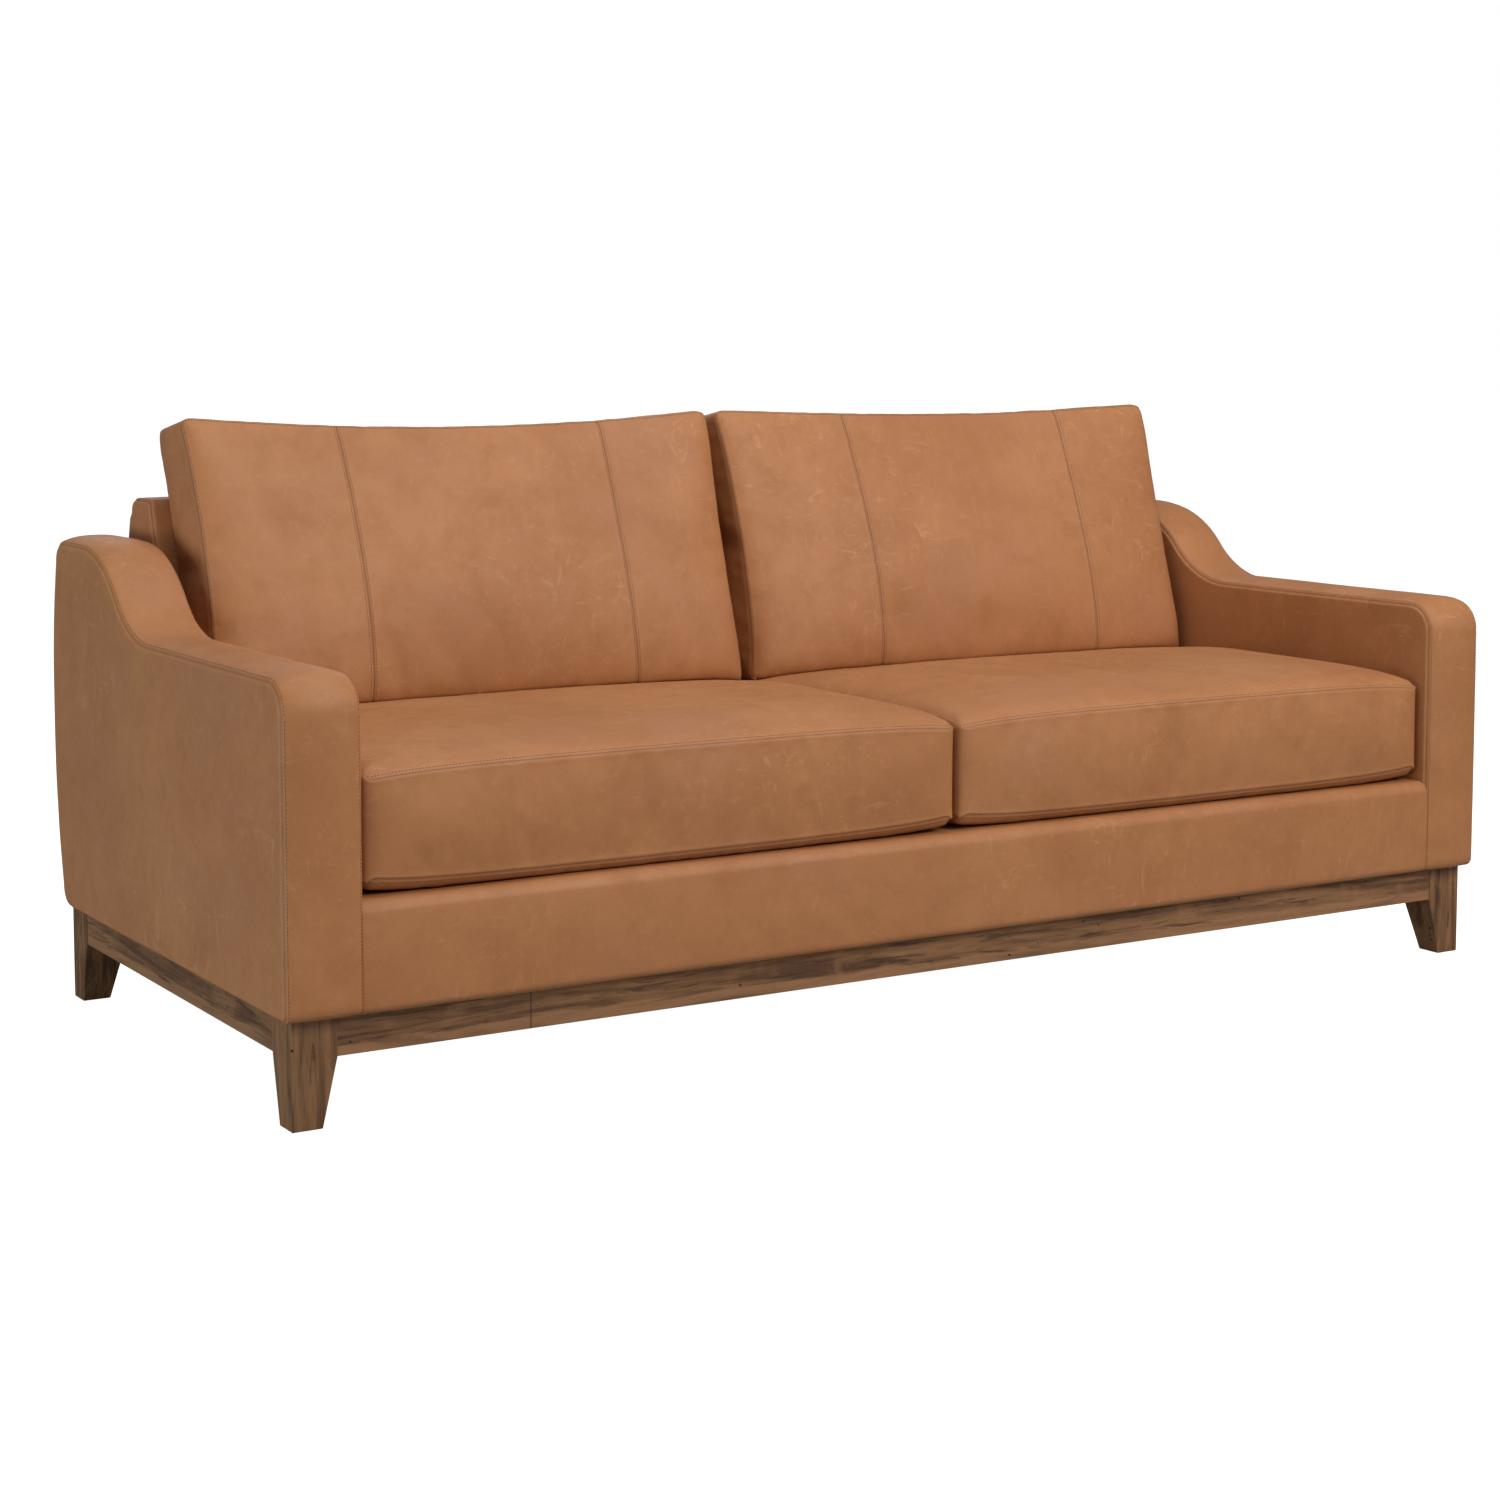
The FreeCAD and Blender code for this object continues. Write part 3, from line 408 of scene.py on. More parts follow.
def plain_material(name, light, dark, scale, roughness, depth, metallic=0.0, stretch=(1, 1, 1)):
    """Small-scale mottled material for the pieces under and inside the sofa."""
    n = Nodes(name)
    mottle = n.noise(scale, detail=5.0, roughness=0.6, vector=n.stretched(stretch))
    color = n.mix(n.span(mottle, 0.35, 0.65), srgb(*dark), srgb(*light))
    n.shader.inputs["Metallic"].default_value = metallic
    normal = n.bump(mottle, depth, 0.6)
    return n.finish(color, n.span(mottle, 0.3, 0.7, roughness - 0.06, roughness + 0.06), normal)


def woven_material(name, light, dark, threads):
    """Plain weave: two crossed sets of threads, the given number to the metre."""
    n = Nodes(name)
    turn = 2 * math.pi * threads / 2
    parts = n.add("ShaderNodeSeparateXYZ")
    n.link(n.place, parts.inputs[0])
    warp = n.maths("SINE", n.maths("MULTIPLY", parts.outputs[0], turn))
    weft = n.maths("SINE", n.maths("MULTIPLY", parts.outputs[1], turn))
    weave = n.span(n.maths("MULTIPLY", warp, weft), -1.0, 1.0)
    wear = n.noise(20.0, detail=4.0)
    color = n.mix(weave, srgb(*dark), srgb(*light))
    color = n.mix(n.span(wear, 0.5, 0.8, 0.0, 0.3), color, srgb(*dark))
    normal = n.bump(weave, 0.4 * MM, 0.8)
    return n.finish(color, n.span(wear, 0.3, 0.7, 0.85, 0.95), normal, specular=0.2)


# ---------------------------------------------------------------- mesh helpers
def resample(values, places, wrap=False):
    """Smooth curve through values along axis 0, read at fractional places."""
    count = len(values)
    base = np.floor(places).astype(int)
    if not wrap:
        base = np.clip(base, 0, count - 2)
    share = (places - base).reshape((-1,) + (1,) * (values.ndim - 1))
    if wrap:
        before, here, after, beyond = (values[(base + k) % count] for k in (-1, 0, 1, 2))
    else:
        ends = np.concatenate([2 * values[:1] - values[1:2], values, 2 * values[-1:] - values[-2:-1]])
        before, here, after, beyond = (ends[base + k] for k in (0, 1, 2, 3))
    return 0.5 * (2 * here + (after - before) * share
                  + (2 * before - 5 * here + 4 * after - beyond) * share ** 2
                  + (3 * here - before - 3 * after + beyond) * share ** 3)


def lines_between(count, seams=(), step=0.5, close=(0.09, 0.2, 0.33, 0.5, 0.72)):
    """Fractional grid lines from 0 to count: even ones, and closer ones beside each seam."""
    near = [0.0, float(count)] + list(seams)
    lines = [line for line in np.arange(0, count + step / 2, step)
             if all(abs(line - seam) > close[-1] + 0.15 for seam in near)]
    for seam in near:
        lines.append(seam)
        for gap in close:
            lines += [line for line in (seam - gap, seam + gap) if 0 < line < count]
    return np.array(sorted(set(round(float(line), 5) for line in lines)))


def grid_faces(index, wrap=False, flip=False):
    """Quads over a grid of vertex numbers."""
    here = index if wrap else index[:, :-1]
    beside = np.roll(index, -1, axis=1) if wrap else index[:, 1:]
    quads = np.stack([here[:-1], beside[:-1], beside[1:], here[1:]], axis=-1).reshape(-1, 4)
    return quads[:, ::-1] if flip else quads


def make_object(name, points, faces, material):
    mesh = bpy.data.meshes.new(name)
    mesh.from_pydata([tuple(p) for p in points], [], [tuple(int(i) for i in f) for f in faces])
    mesh.validate()
    mesh.polygons.foreach_set("use_smooth", [True] * len(mesh.polygons))
    if material is not None:
        mesh.materials.append(material)
    obj = bpy.data.objects.new(name, mesh)
    bpy.context.scene.collection.objects.link(obj)
    return obj


def vertex_normals(obj):
    normals = np.empty(len(obj.data.vertices) * 3, np.float32)
    obj.data.vertices.foreach_get("normal", normals)
    return normals.reshape(-1, 3).astype(float)


def get_points(obj):
    points = np.empty(len(obj.data.vertices) * 3, np.float32)
    obj.data.vertices.foreach_get("co", points)
    return points.reshape(-1, 3).astype(float)


def set_points(obj, points):
    obj.data.vertices.foreach_set("co", np.asarray(points, np.float32).ravel())
    obj.data.update()


def add_attribute(obj, name, values):
    layer = obj.data.attributes.new(name, "FLOAT", "POINT")
    layer.data.foreach_set("value", np.asarray(values, np.float32))


def ripple(points, scale, seed):
    """Smooth random value from -1 to 1 at each point."""
    shift = Vector((seed * 3.17, seed * 1.31, seed * 7.77))
    return np.array([noise.noise(Vector(p) * scale + shift) for p in points])


def sew(obj, seam_distance):
    """Press the seams into a finished skin, raise a lip beside them and record both for the leather, which
    paints shade into each seam groove and a highlight on each lip.
    """
    groove = np.exp(-(seam_distance / (1.5 * MM)) ** 2)
    lip = np.exp(-((seam_distance - LIP_PLACE) / LIP_WIDTH) ** 2)
    move = LIP_HEIGHT * lip - SEAM_DEPTH * groove
    set_points(obj, get_points(obj) + vertex_normals(obj) * move[:, None])
    # painted shade mask: the 'seam' attribute marks the seam groove for the leather to darken
    add_attribute(obj, "seam", np.exp(-(seam_distance / (1.3 * MM)) ** 2))
    # painted highlight mask: the 'lip' attribute marks the raised lip for the leather to lighten
    add_attribute(obj, "lip", lip)


def soften(obj, amount, seed):
    """Slight unevenness of leather over padding."""
    points = get_points(obj)
    move = amount * (ripple(points, 4.5, seed) + 0.45 * ripple(points, 15.0, seed + 1))
    set_points(obj, points + vertex_normals(obj) * move[:, None])


def surface_of(obj):
    return BVHTree.FromPolygons([v.co for v in obj.data.vertices],
                                [tuple(p.vertices) for p in obj.data.polygons])


def stitch_line(points, surface, closed=False):
    """Places and directions of stitches along a line of points laid on a surface."""
    line = np.asarray(points, float)
    if closed:
        line = np.concatenate([line, line[:1]])
    lengths = np.linalg.norm(np.diff(line, axis=0), axis=1)
    travel = np.concatenate([[0], np.cumsum(lengths)])
    found = []
    for place in np.arange(STITCH_PITCH, travel[-1], STITCH_PITCH):
        at = np.array([np.interp(place, travel, line[:, k]) for k in range(3)])
        ahead = np.array([np.interp(place + STITCH_LENGTH / 2, travel, line[:, k]) for k in range(3)])
        behind = np.array([np.interp(place - STITCH_LENGTH / 2, travel, line[:, k]) for k in range(3)])
        hit, normal, _, _ = surface.find_nearest(Vector(at))
        if hit is not None:
            found.append((hit + normal * 0.15 * MM, Vector(ahead - behind), normal))
    return found


def make_stitches(name, stitches, material):
    """One mesh of short sunken thread loops, each a small barrel rounded at both ends."""
    points = []
    faces = []
    rings = ((-0.5, 0.25), (-0.3, 1.0), (0.3, 1.0), (0.5, 0.25))
    for place, direction, normal in stitches:
        along = direction.normalized()
        out = (normal - along * normal.dot(along)).normalized()
        across = along.cross(out)
        start = len(points)
        for share, width in rings:
            for side in range(STITCH_SIDES):
                angle = 2 * math.pi * side / STITCH_SIDES
                ray = (out * math.cos(angle) + across * math.sin(angle)) * STITCH_RADIUS * width
                points.append(place + along * share * STITCH_LENGTH + ray)
        for ring in range(len(rings) - 1):
            for side in range(STITCH_SIDES):
                beside = (side + 1) % STITCH_SIDES
                base = start + ring * STITCH_SIDES
                faces.append((base + side, base + beside, base + beside + STITCH_SIDES,
                              base + side + STITCH_SIDES))
        faces.append([start + side for side in reversed(range(STITCH_SIDES))])
        last = start + (len(rings) - 1) * STITCH_SIDES
        faces.append([last + side for side in range(STITCH_SIDES)])
    return make_object(name, points, faces, material)


# ---------------------------------------------------------------- outlines
def arc(centre, radius, start, end, count):
    angles = np.linspace(start, end, count + 1)
    return [(centre[0] + radius * math.cos(a), centre[1] + radius * math.sin(a)) for a in angles]


def rear_y(z):
    return cad_box[1][1] - BOW_RADIUS + math.sqrt(BOW_RADIUS ** 2 - (z - BOW_HEIGHT) ** 2)


def back_y(z, depth=0.0):
    """Inside face of the fixed back at height z."""
    return BACK_FACE_TOP - (BACK_TOP - z) * math.tan(BACK_LEAN) + depth / math.cos(BACK_LEAN)


def evened(points, spacing):
    """Closed outline with its points about spacing apart, and closer together round tight bends."""
    line = np.array(points + points[:1], float)
    lengths = np.linalg.norm(np.diff(line, axis=0), axis=1)
    keep = np.concatenate([[True], lengths > 1e-6])
    line = line[keep]
    lengths = np.linalg.norm(np.diff(line, axis=0), axis=1)
    made = []
    for start, end, length in zip(line[:-1], line[1:], lengths):
        pieces = max(1, int(round(length / spacing)))
        for k in range(pieces):
            made.append(start + (end - start) * k / pieces)
    return np.array(made)


def arm_outline():
    low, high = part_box("arm_outer_cover_left")
    front, bottom, top = low.y, low.z - HEM_DROP, high.z
    quarter = math.pi / 2
    upper_radius = (top - ARM_HEIGHT) / (1 - math.cos(SLOPE_ANGLE)) - SLOPE_LOWER_RADIUS
    slope_end = SLOPE_START + (SLOPE_LOWER_RADIUS + upper_radius) * math.sin(SLOPE_ANGLE)
    rear_top = top - ARM_REAR_RADIUS
    heel_top = bottom + ARM_HEEL_RADIUS
    path = arc((front + ARM_FRONT_RADIUS, ARM_HEIGHT - ARM_FRONT_RADIUS), ARM_FRONT_RADIUS,
               math.pi, quarter, 12)
    path += arc((SLOPE_START, ARM_HEIGHT + SLOPE_LOWER_RADIUS), SLOPE_LOWER_RADIUS,
                -quarter, SLOPE_ANGLE - quarter, 18)
    path += arc((slope_end, top - upper_radius), upper_radius, quarter + SLOPE_ANGLE, quarter, 20)
    path += arc((rear_y(rear_top) - ARM_REAR_RADIUS, rear_top), ARM_REAR_RADIUS, quarter, 0, 9)
    path += [(rear_y(z), z) for z in np.linspace(rear_top, heel_top, 60)[1:]]
    path += arc((rear_y(heel_top) - ARM_HEEL_RADIUS, heel_top), ARM_HEEL_RADIUS, 0, -quarter, 9)
    path += arc((front + ARM_TOE_RADIUS, bottom + ARM_TOE_RADIUS), ARM_TOE_RADIUS, -quarter, -math.pi, 6)
    return evened(path, 0.008)


def back_outline():
    """Side view of the fixed back, from its foot at the deck up over the top and down the rear."""
    quarter = math.pi / 2
    edge = 0.012
    rear_edge = 0.022
    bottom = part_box("outside_back_cover")[0].z - HEM_DROP
    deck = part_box("inside_back_cover")[0].z
    path = [(back_y(z), z) for z in np.linspace(deck, BACK_TOP - edge, 40)]
    path += arc((back_y(BACK_TOP - edge) + edge, BACK_TOP - edge), edge, math.pi - BACK_LEAN, quarter, 5)
    path += arc((rear_y(BACK_TOP) - rear_edge, BACK_TOP - rear_edge), rear_edge, quarter, 0, 7)
    path += [(rear_y(z), z) for z in np.linspace(BACK_TOP - rear_edge, bottom + edge, 70)[1:]]
    path += arc((rear_y(bottom) - edge, bottom + edge), edge, 0, -quarter, 5)
    path += [(0.22, bottom), (0.215, deck - 0.01)]
    return evened(path, 0.009)


def outward_normals(outline):
    """Outward normals of a closed outline that runs clockwise seen from -X to +X."""
    along = np.roll(outline, -1, axis=0) - np.roll(outline, 1, axis=0)
    along /= np.linalg.norm(along, axis=1)[:, None]
    return np.stack([-along[:, 1], along[:, 0]], axis=1)


# ---------------------------------------------------------------- upholstered frame: arms and back
def edge_drop(distances):
    """How far a rounded edge has fallen from the flat at these distances from its corner."""
    short = np.maximum(SEAM_CORNER - distances, 0)
    return SEAM_CORNER - np.sqrt(np.maximum(SEAM_CORNER ** 2 - short ** 2, 0))


def wrapped_form(name, outline, x0, x1, spine, crown, bulge, material):
    """Skin over a form with this YZ outline from x0 to x1: a band all the way round, sewn to two side
    panels.  crown is how far the band stands proud in the middle, except underneath, and bulge the same
    for the panels."""
    normals = outward_normals(outline)
    count = len(outline)
    half = (x1 - x0) / 2
    inset = SEAM_CORNER * (1 - math.sqrt(0.5))
    near = np.array([0.0, 1.0, 2.0, 3.2, 4.6, 6.3]) * MM + inset
    inner = np.linspace(near[-1] + 4 * MM, half, max(3, int(half / (9 * MM))))
    distances = np.concatenate([near, inner])
    drop = edge_drop(distances)

    # band: rows from x0 to x1
    fullness = 1 - (1 - distances / half) ** 2.6
    underneath = np.clip(-normals[:, 1], 0, 1)
    rise = crown * fullness[:, None] * (1 - underneath) - drop[:, None]
    x_rows = np.concatenate([x0 + distances, (x1 - distances)[::-1][1:]])
    rises = np.concatenate([rise, rise[::-1][1:]])
    seam_rows = np.concatenate([distances - inset, (distances - inset)[::-1][1:]])
    points = []
    seam = []
    for x, lift, away in zip(x_rows, rises, seam_rows):
        ring = outline + normals * lift[:, None]
        points.append(np.column_stack([np.full(count, x), ring]))
        seam.append(np.full(count, away))
    band = np.arange(len(x_rows) * count).reshape(len(x_rows), count)
    faces = [grid_faces(band, wrap=True, flip=True)]
    total = len(x_rows) * count

    # side panels: rings that close in on the spine
    tree = KDTree(count)
    for number, (y, z) in enumerate(outline):
        tree.insert((0, y, z), number)
    tree.balance()
    start, end = np.array(spine[0]), np.array(spine[1])
    share = np.clip((outline - start) @ (end - start) / np.sum((end - start) ** 2), 0, 1)
    share = 0.5 - 0.5 * np.cos(np.pi * share)
    targets = start + share[:, None] * (end - start)
    rim = 12 * MM
    shares = np.linspace(0, 1, 26)[1:] ** 1.15
    for side, edge_row in ((-1, 0), (1, len(x_rows) - 1)):
        face_x = x0 if side < 0 else x1
        rings = [band[edge_row]]
        previous_ring = outline - normals * rim
        steps = [outline - normals * q for q in near[1:]] + [previous_ring]
        steps += [previous_ring + (targets - previous_ring) * f for f in shares]
        for ring in steps:
            depth = np.array([tree.find((0, y, z))[2] for y, z in ring])
            swell = bulge * (1 - np.exp(-np.maximum(depth - inset, 0) / 0.045))
            xs = face_x + side * (swell - edge_drop(depth))
            points.append(np.column_stack([xs, ring]))
            seam.append(np.maximum(depth - inset, 0.2 * MM))
            rings.append(np.arange(total, total + count))
            total += count
        faces.append(grid_faces(np.array(rings), wrap=True, flip=side > 0))
    obj = make_object(name, np.concatenate(points), np.concatenate(faces), material)
    close_up(obj)
    seam_distance = nearest_seam(obj, [band_line(outline, normals, -inset, x0 + inset),
                                       band_line(outline, normals, -inset, x1 - inset)])
    return obj, seam_distance


def band_line(outline, normals, lift, x):
    ring = outline + normals * lift
    return np.column_stack([np.full(len(ring), x), ring])


def close_up(obj):
    """Merge the rings that have closed on the spine, and fix the facing."""
    form = bmesh.new()
    form.from_mesh(obj.data)
    bmesh.ops.remove_doubles(form, verts=form.verts, dist=0.4 * MM)
    bmesh.ops.recalc_face_normals(form, faces=form.faces)
    form.to_mesh(obj.data)
    form.free()
    obj.data.polygons.foreach_set("use_smooth", [True] * len(obj.data.polygons))


def nearest_seam(obj, lines):
    """Distance of each vertex from the nearest of some closed seam lines."""
    dense = []
    for line in lines:
        ahead = np.roll(line, -1, axis=0)
        for share in (0.0, 0.25, 0.5, 0.75):
            dense.append(line + (ahead - line) * share)
    dense = np.concatenate(dense)
    tree = KDTree(len(dense))
    for number, point in enumerate(dense):
        tree.insert(point, number)
    tree.balance()
    return np.array([tree.find(v.co)[2] for v in obj.data.vertices])


# ---------------------------------------------------------------- cushions
def rounded_grid(length, width, radius, columns, rows, pull):
    """Points over a rounded rectangle, (rows + 1, columns + 1, 2), whose sides are pulled in between
    its corners by this much."""
    corner_share = math.pi * radius / 4

    def side(total, count):
        """Along one side from the middle of one corner to the middle of the next: (along, inset)."""
        full = total - 2 * radius + 2 * corner_share
        found = []
        for travel in np.linspace(0, full, count + 1):
            if travel < corner_share:
                angle = math.pi / 4 + travel / radius
                found.append((-total / 2 + radius - radius * math.cos(angle),
                              radius - radius * math.sin(angle)))
            elif travel > full - corner_share:
                angle = math.pi / 4 + (full - travel) / radius
                found.append((total / 2 - radius + radius * math.cos(angle),
                              radius - radius * math.sin(angle)))
            else:
                found.append((-total / 2 + radius + travel - corner_share, 0.0))
        return np.array(found)

    along = side(length, columns)
    up = side(width, rows)
    low = np.column_stack([along[:, 0], -width / 2 + along[:, 1]])
    high = np.column_stack([along[:, 0], width / 2 - along[:, 1]])
    left = np.column_stack([-length / 2 + up[:, 1], up[:, 0]])
    right = np.column_stack([length / 2 - up[:, 1], up[:, 0]])
    u = np.linspace(0, 1, columns + 1)[None, :, None]
    v = np.linspace(0, 1, rows + 1)[:, None, None]
    ruled = (1 - v) * low[None] + v * high[None] + (1 - u) * left[:, None] + u * right[:, None]
    corners = ((1 - u) * (1 - v) * low[0] + u * (1 - v) * low[-1]
               + (1 - u) * v * high[0] + u * v * high[-1])
    flat = ruled - corners
    share = flat / np.array([length / 2, width / 2])
    return flat - pull * share * (1 - share[..., ::-1] ** 2)


def rim_of(grid):
    """The grid's edge as one closed loop."""
    return np.concatenate([grid[0, :-1], grid[:-1, -1], grid[-1, :0:-1], grid[:0:-1, 0]])


class BoxCushion:
    """A sewn cushion in its own frame: X along it, Y across it, Z through its thickness.
    Two panels, at +Z and -Z, and a boxing strip round them."""

    def __init__(self, length, width, thickness, radius, pull, pinch, spacing=13.5 * MM):
        self.columns = int(round(length / spacing))
        self.rows = int(round(width / spacing))
        self.strips = int(round(thickness / spacing))
        flat = rounded_grid(length, width, radius, self.columns, self.rows, pull)
        self.size = (length, width, thickness)
        share = np.abs(flat) / np.array([length / 2, width / 2])
        half = thickness / 2 * (1 - pinch * (share[..., 0] * share[..., 1]) ** 6)
        self.upper = np.dstack([flat, half])
        self.lower = np.dstack([flat, -half])
        rim, rim_half = rim_of(flat), rim_of(half)
        levels = np.linspace(1, -1, self.strips + 1)
        self.boxing = np.stack([np.column_stack([rim, rim_half * level]) for level in levels])

    def numbers(self, upper, lower, boxing):
        """Vertex numbers of the three grids, with the seams shared, and the points in that order."""
        top = np.arange(upper.shape[0] * upper.shape[1]).reshape(upper.shape[:2])
        bottom = top.size + np.arange(lower.shape[0] * lower.shape[1]).reshape(lower.shape[:2])
        inner = boxing[1:-1]
        side = top.size + bottom.size + np.arange(inner.shape[0] * inner.shape[1]).reshape(inner.shape[:2])
        strip = np.concatenate([rim_of(top)[None], side, rim_of(bottom)[None]])
        points = np.concatenate([upper.reshape(-1, 3), lower.reshape(-1, 3), inner.reshape(-1, 3)])
        faces = np.concatenate([grid_faces(top), grid_faces(bottom, flip=True),
                                grid_faces(strip, wrap=True, flip=True)])
        return top, bottom, strip, points, faces

    def inflate(self, name, crown, under, side, roll):
        """Puff the cushion up by cloth simulation, scale what it does to these amounts, and let the
        foam's edge fill both panels out by roll just inside their seams."""
        top, bottom, strip, points, faces = self.numbers(self.upper, self.lower, self.boxing)
        moved = simulate(name, points, faces, np.concatenate([strip[0], strip[-1]]))
        shift = moved - points
        rise = shift[top.ravel(), 2].max()
        fall = -shift[bottom.ravel(), 2].min()
        swell = (shift[:, :2] * np.sign(points[:, :2])).max()
        shift[:, :2] *= side / swell
        shift[:, 2] *= np.where(points[:, 2] > 0, crown / rise, under / fall)
        share = np.clip(np.abs(points[:, :2]) / (np.array(self.size[:2]) / 2), 0, 1)
        fullness = EDGE_FULLNESS + (1 - EDGE_FULLNESS) * np.prod(1 - share ** 2.5, axis=1)
        shift[:, 2] *= np.where(points[:, 2] > 0, fullness, 1.0)
        panels = np.concatenate([top.ravel(), bottom.ravel()])
        inside = (np.array(self.size[:2]) / 2 - np.abs(points[panels, :2])).min(axis=1)
        facing = np.sign(points[panels, 2])
        reach = np.where(facing > 0, ROLL_REACH[1], ROLL_REACH[0])
        shift[panels, 2] += facing * roll * (1 - np.exp(-np.maximum(inside, 0) / reach))
        points = points + shift
        self.upper = points[top]
        self.lower = points[bottom]
        self.boxing = points[strip]

    def place(self, shaping):
        """Move the grids into the sofa's frame and press them against their neighbours."""
        for key in ("upper", "lower", "boxing"):
            grid = getattr(self, key)
            setattr(self, key, shaping(grid.reshape(-1, 3)).reshape(grid.shape))

    def build(self, name, material, panel_seams=()):
        """Final mesh, with closer lines beside the seams, and each vertex's distance from a seam."""
        across = lines_between(self.columns, panel_seams)
        up = lines_between(self.rows)
        through = lines_between(self.strips)
        round_rim = np.concatenate([
            across[:-1], self.columns + up[:-1],
            self.columns + self.rows + (self.columns - across[:0:-1]),
            2 * self.columns + self.rows + (self.rows - up[:0:-1])])
        upper = resample(resample(self.upper, up).swapaxes(0, 1), across).swapaxes(0, 1)
        lower = resample(resample(self.lower, up).swapaxes(0, 1), across).swapaxes(0, 1)
        boxing = resample(resample(self.boxing, through).swapaxes(0, 1), round_rim, wrap=True).swapaxes(0, 1)
        top, bottom, strip, points, faces = self.numbers(upper, lower, boxing)
        obj = make_object(name, points, faces, material)
        distance = np.full(len(points), 1.0)
        cell_x = self.size[0] / self.columns
        cell_y = self.size[1] / self.rows
        cell_z = self.size[2] / self.strips
        edge_x = np.minimum(across, self.columns - across) * cell_x
        edge_y = np.minimum(up, self.rows - up) * cell_y
        edge_z = np.minimum(through, self.strips - through) * cell_z
        distance[top] = np.minimum(edge_y[:, None], edge_x[None, :])
        distance[bottom] = distance[top]
        distance[strip] = np.minimum(distance[strip], edge_z[:, None])
        for seam in panel_seams:
            distance[top] = np.minimum(distance[top], np.abs(across - seam)[None, :] * cell_x)
        self.seam_columns = [int(np.argmin(np.abs(across - seam))) for seam in panel_seams]
        self.top_index, self.bottom_index, self.strip_index = top, bottom, strip
        return obj, distance

    def stitch_rows(self, obj, inset_lines=3):
        """Lines for the thread: just inside both panels' edges and beside each panel seam."""
        points = get_points(obj)
        rows = []
        for index in (self.top_index, self.bottom_index):
            inner = index[inset_lines:-inset_lines, inset_lines:-inset_lines]
            rows.append((points[rim_of(inner)], True))
        for column in self.seam_columns:
            for side in (-inset_lines, inset_lines):
                rows.append((points[self.top_index[inset_lines:-inset_lines, column + side]], False))
        return rows


def simulate(name, points, faces, seams):
    """Blow the closed form up as cloth for a few frames, with its seams held in place by the foam
    inside, and return where its points go."""
    obj = make_object(name + "_cloth", points, faces, None)
    held = obj.vertex_groups.new(name="seams")
    held.add([int(number) for number in np.unique(seams)], 0.5, "REPLACE")
    scene = bpy.context.scene
    scene.frame_start, scene.frame_end = 1, 20
    cloth = obj.modifiers.new("cloth", "CLOTH")
    settings = cloth.settings
    settings.quality = 5
    settings.mass = 0.4
    settings.tension_stiffness = 80
    settings.compression_stiffness = 80
    settings.shear_stiffness = 40
    settings.bending_stiffness = 5
    settings.use_pressure = True
    settings.uniform_pressure_force = 4.0
    settings.shrink_min = -0.006
    settings.vertex_group_mass = "seams"
    settings.pin_stiffness = 5
    settings.effector_weights.gravity = 0.0
    cloth.point_cache.frame_start = 1
    cloth.point_cache.frame_end = 20
    for step in range(1, 21):
        scene.frame_set(step)
    found = get_points(obj.evaluated_get(bpy.context.evaluated_depsgraph_get()))
    scene.frame_set(1)
    mesh = obj.data
    bpy.data.objects.remove(obj)
    bpy.data.meshes.remove(mesh)
    return found


# ---------------------------------------------------------------- the pieces
def build_arm(side, leather, thread):
    sign = SIDES[side]
    outer = abs(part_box("arm_outer_cover_" + side)[0 if sign < 0 else 1].x)
    inner = abs(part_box("arm_inner_cover_" + side)[1 if sign < 0 else 0].x)
    x0, x1 = sorted((sign * inner, sign * outer))
    outline = arm_outline()
    arm, seam_distance = wrapped_form("arm_" + side, outline, x0, x1, ((-0.25, 0.38), (0.22, 0.42)),
                                      11 * MM, 3 * MM, leather)
    soften(arm, 0.8 * MM, 11 + sign)
    sew(arm, seam_distance)
    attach(arm, "sofa_frame")
    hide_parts(*("arm_%s_%s" % (kind, side)
                       for kind in ("outer_cover", "inner_cover", "band", "padding")))

    surface = surface_of(arm)
    inset = SEAM_CORNER * (1 - math.sqrt(0.5))
    ring = band_line(outline, outward_normals(outline), 0, 0)
    stitches = []
    for x in (x0 + inset + LIP_PLACE, x1 - inset - LIP_PLACE):
        line = ring.copy()
        line[:, 0] = x
        stitches += stitch_line(line, surface, closed=True)
    sewing = make_stitches("arm_stitching_" + side, stitches, thread)
    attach(sewing, "sofa_frame")


def build_back(leather):
    low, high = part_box("back_top_band")
    outline = back_outline()
    back, seam_distance = wrapped_form("back_upholstery", outline, low.x, high.x,
                                       ((0.30, 0.45), (0.38, 0.72)), 3 * MM, 2 * MM, leather)
    soften(back, 0.8 * MM, 31)
    sew(back, seam_distance)
    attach(back, "sofa_frame")
    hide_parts("inside_back_cover", "outside_back_cover", "back_top_band",
                "back_side_covers", "back_padding")


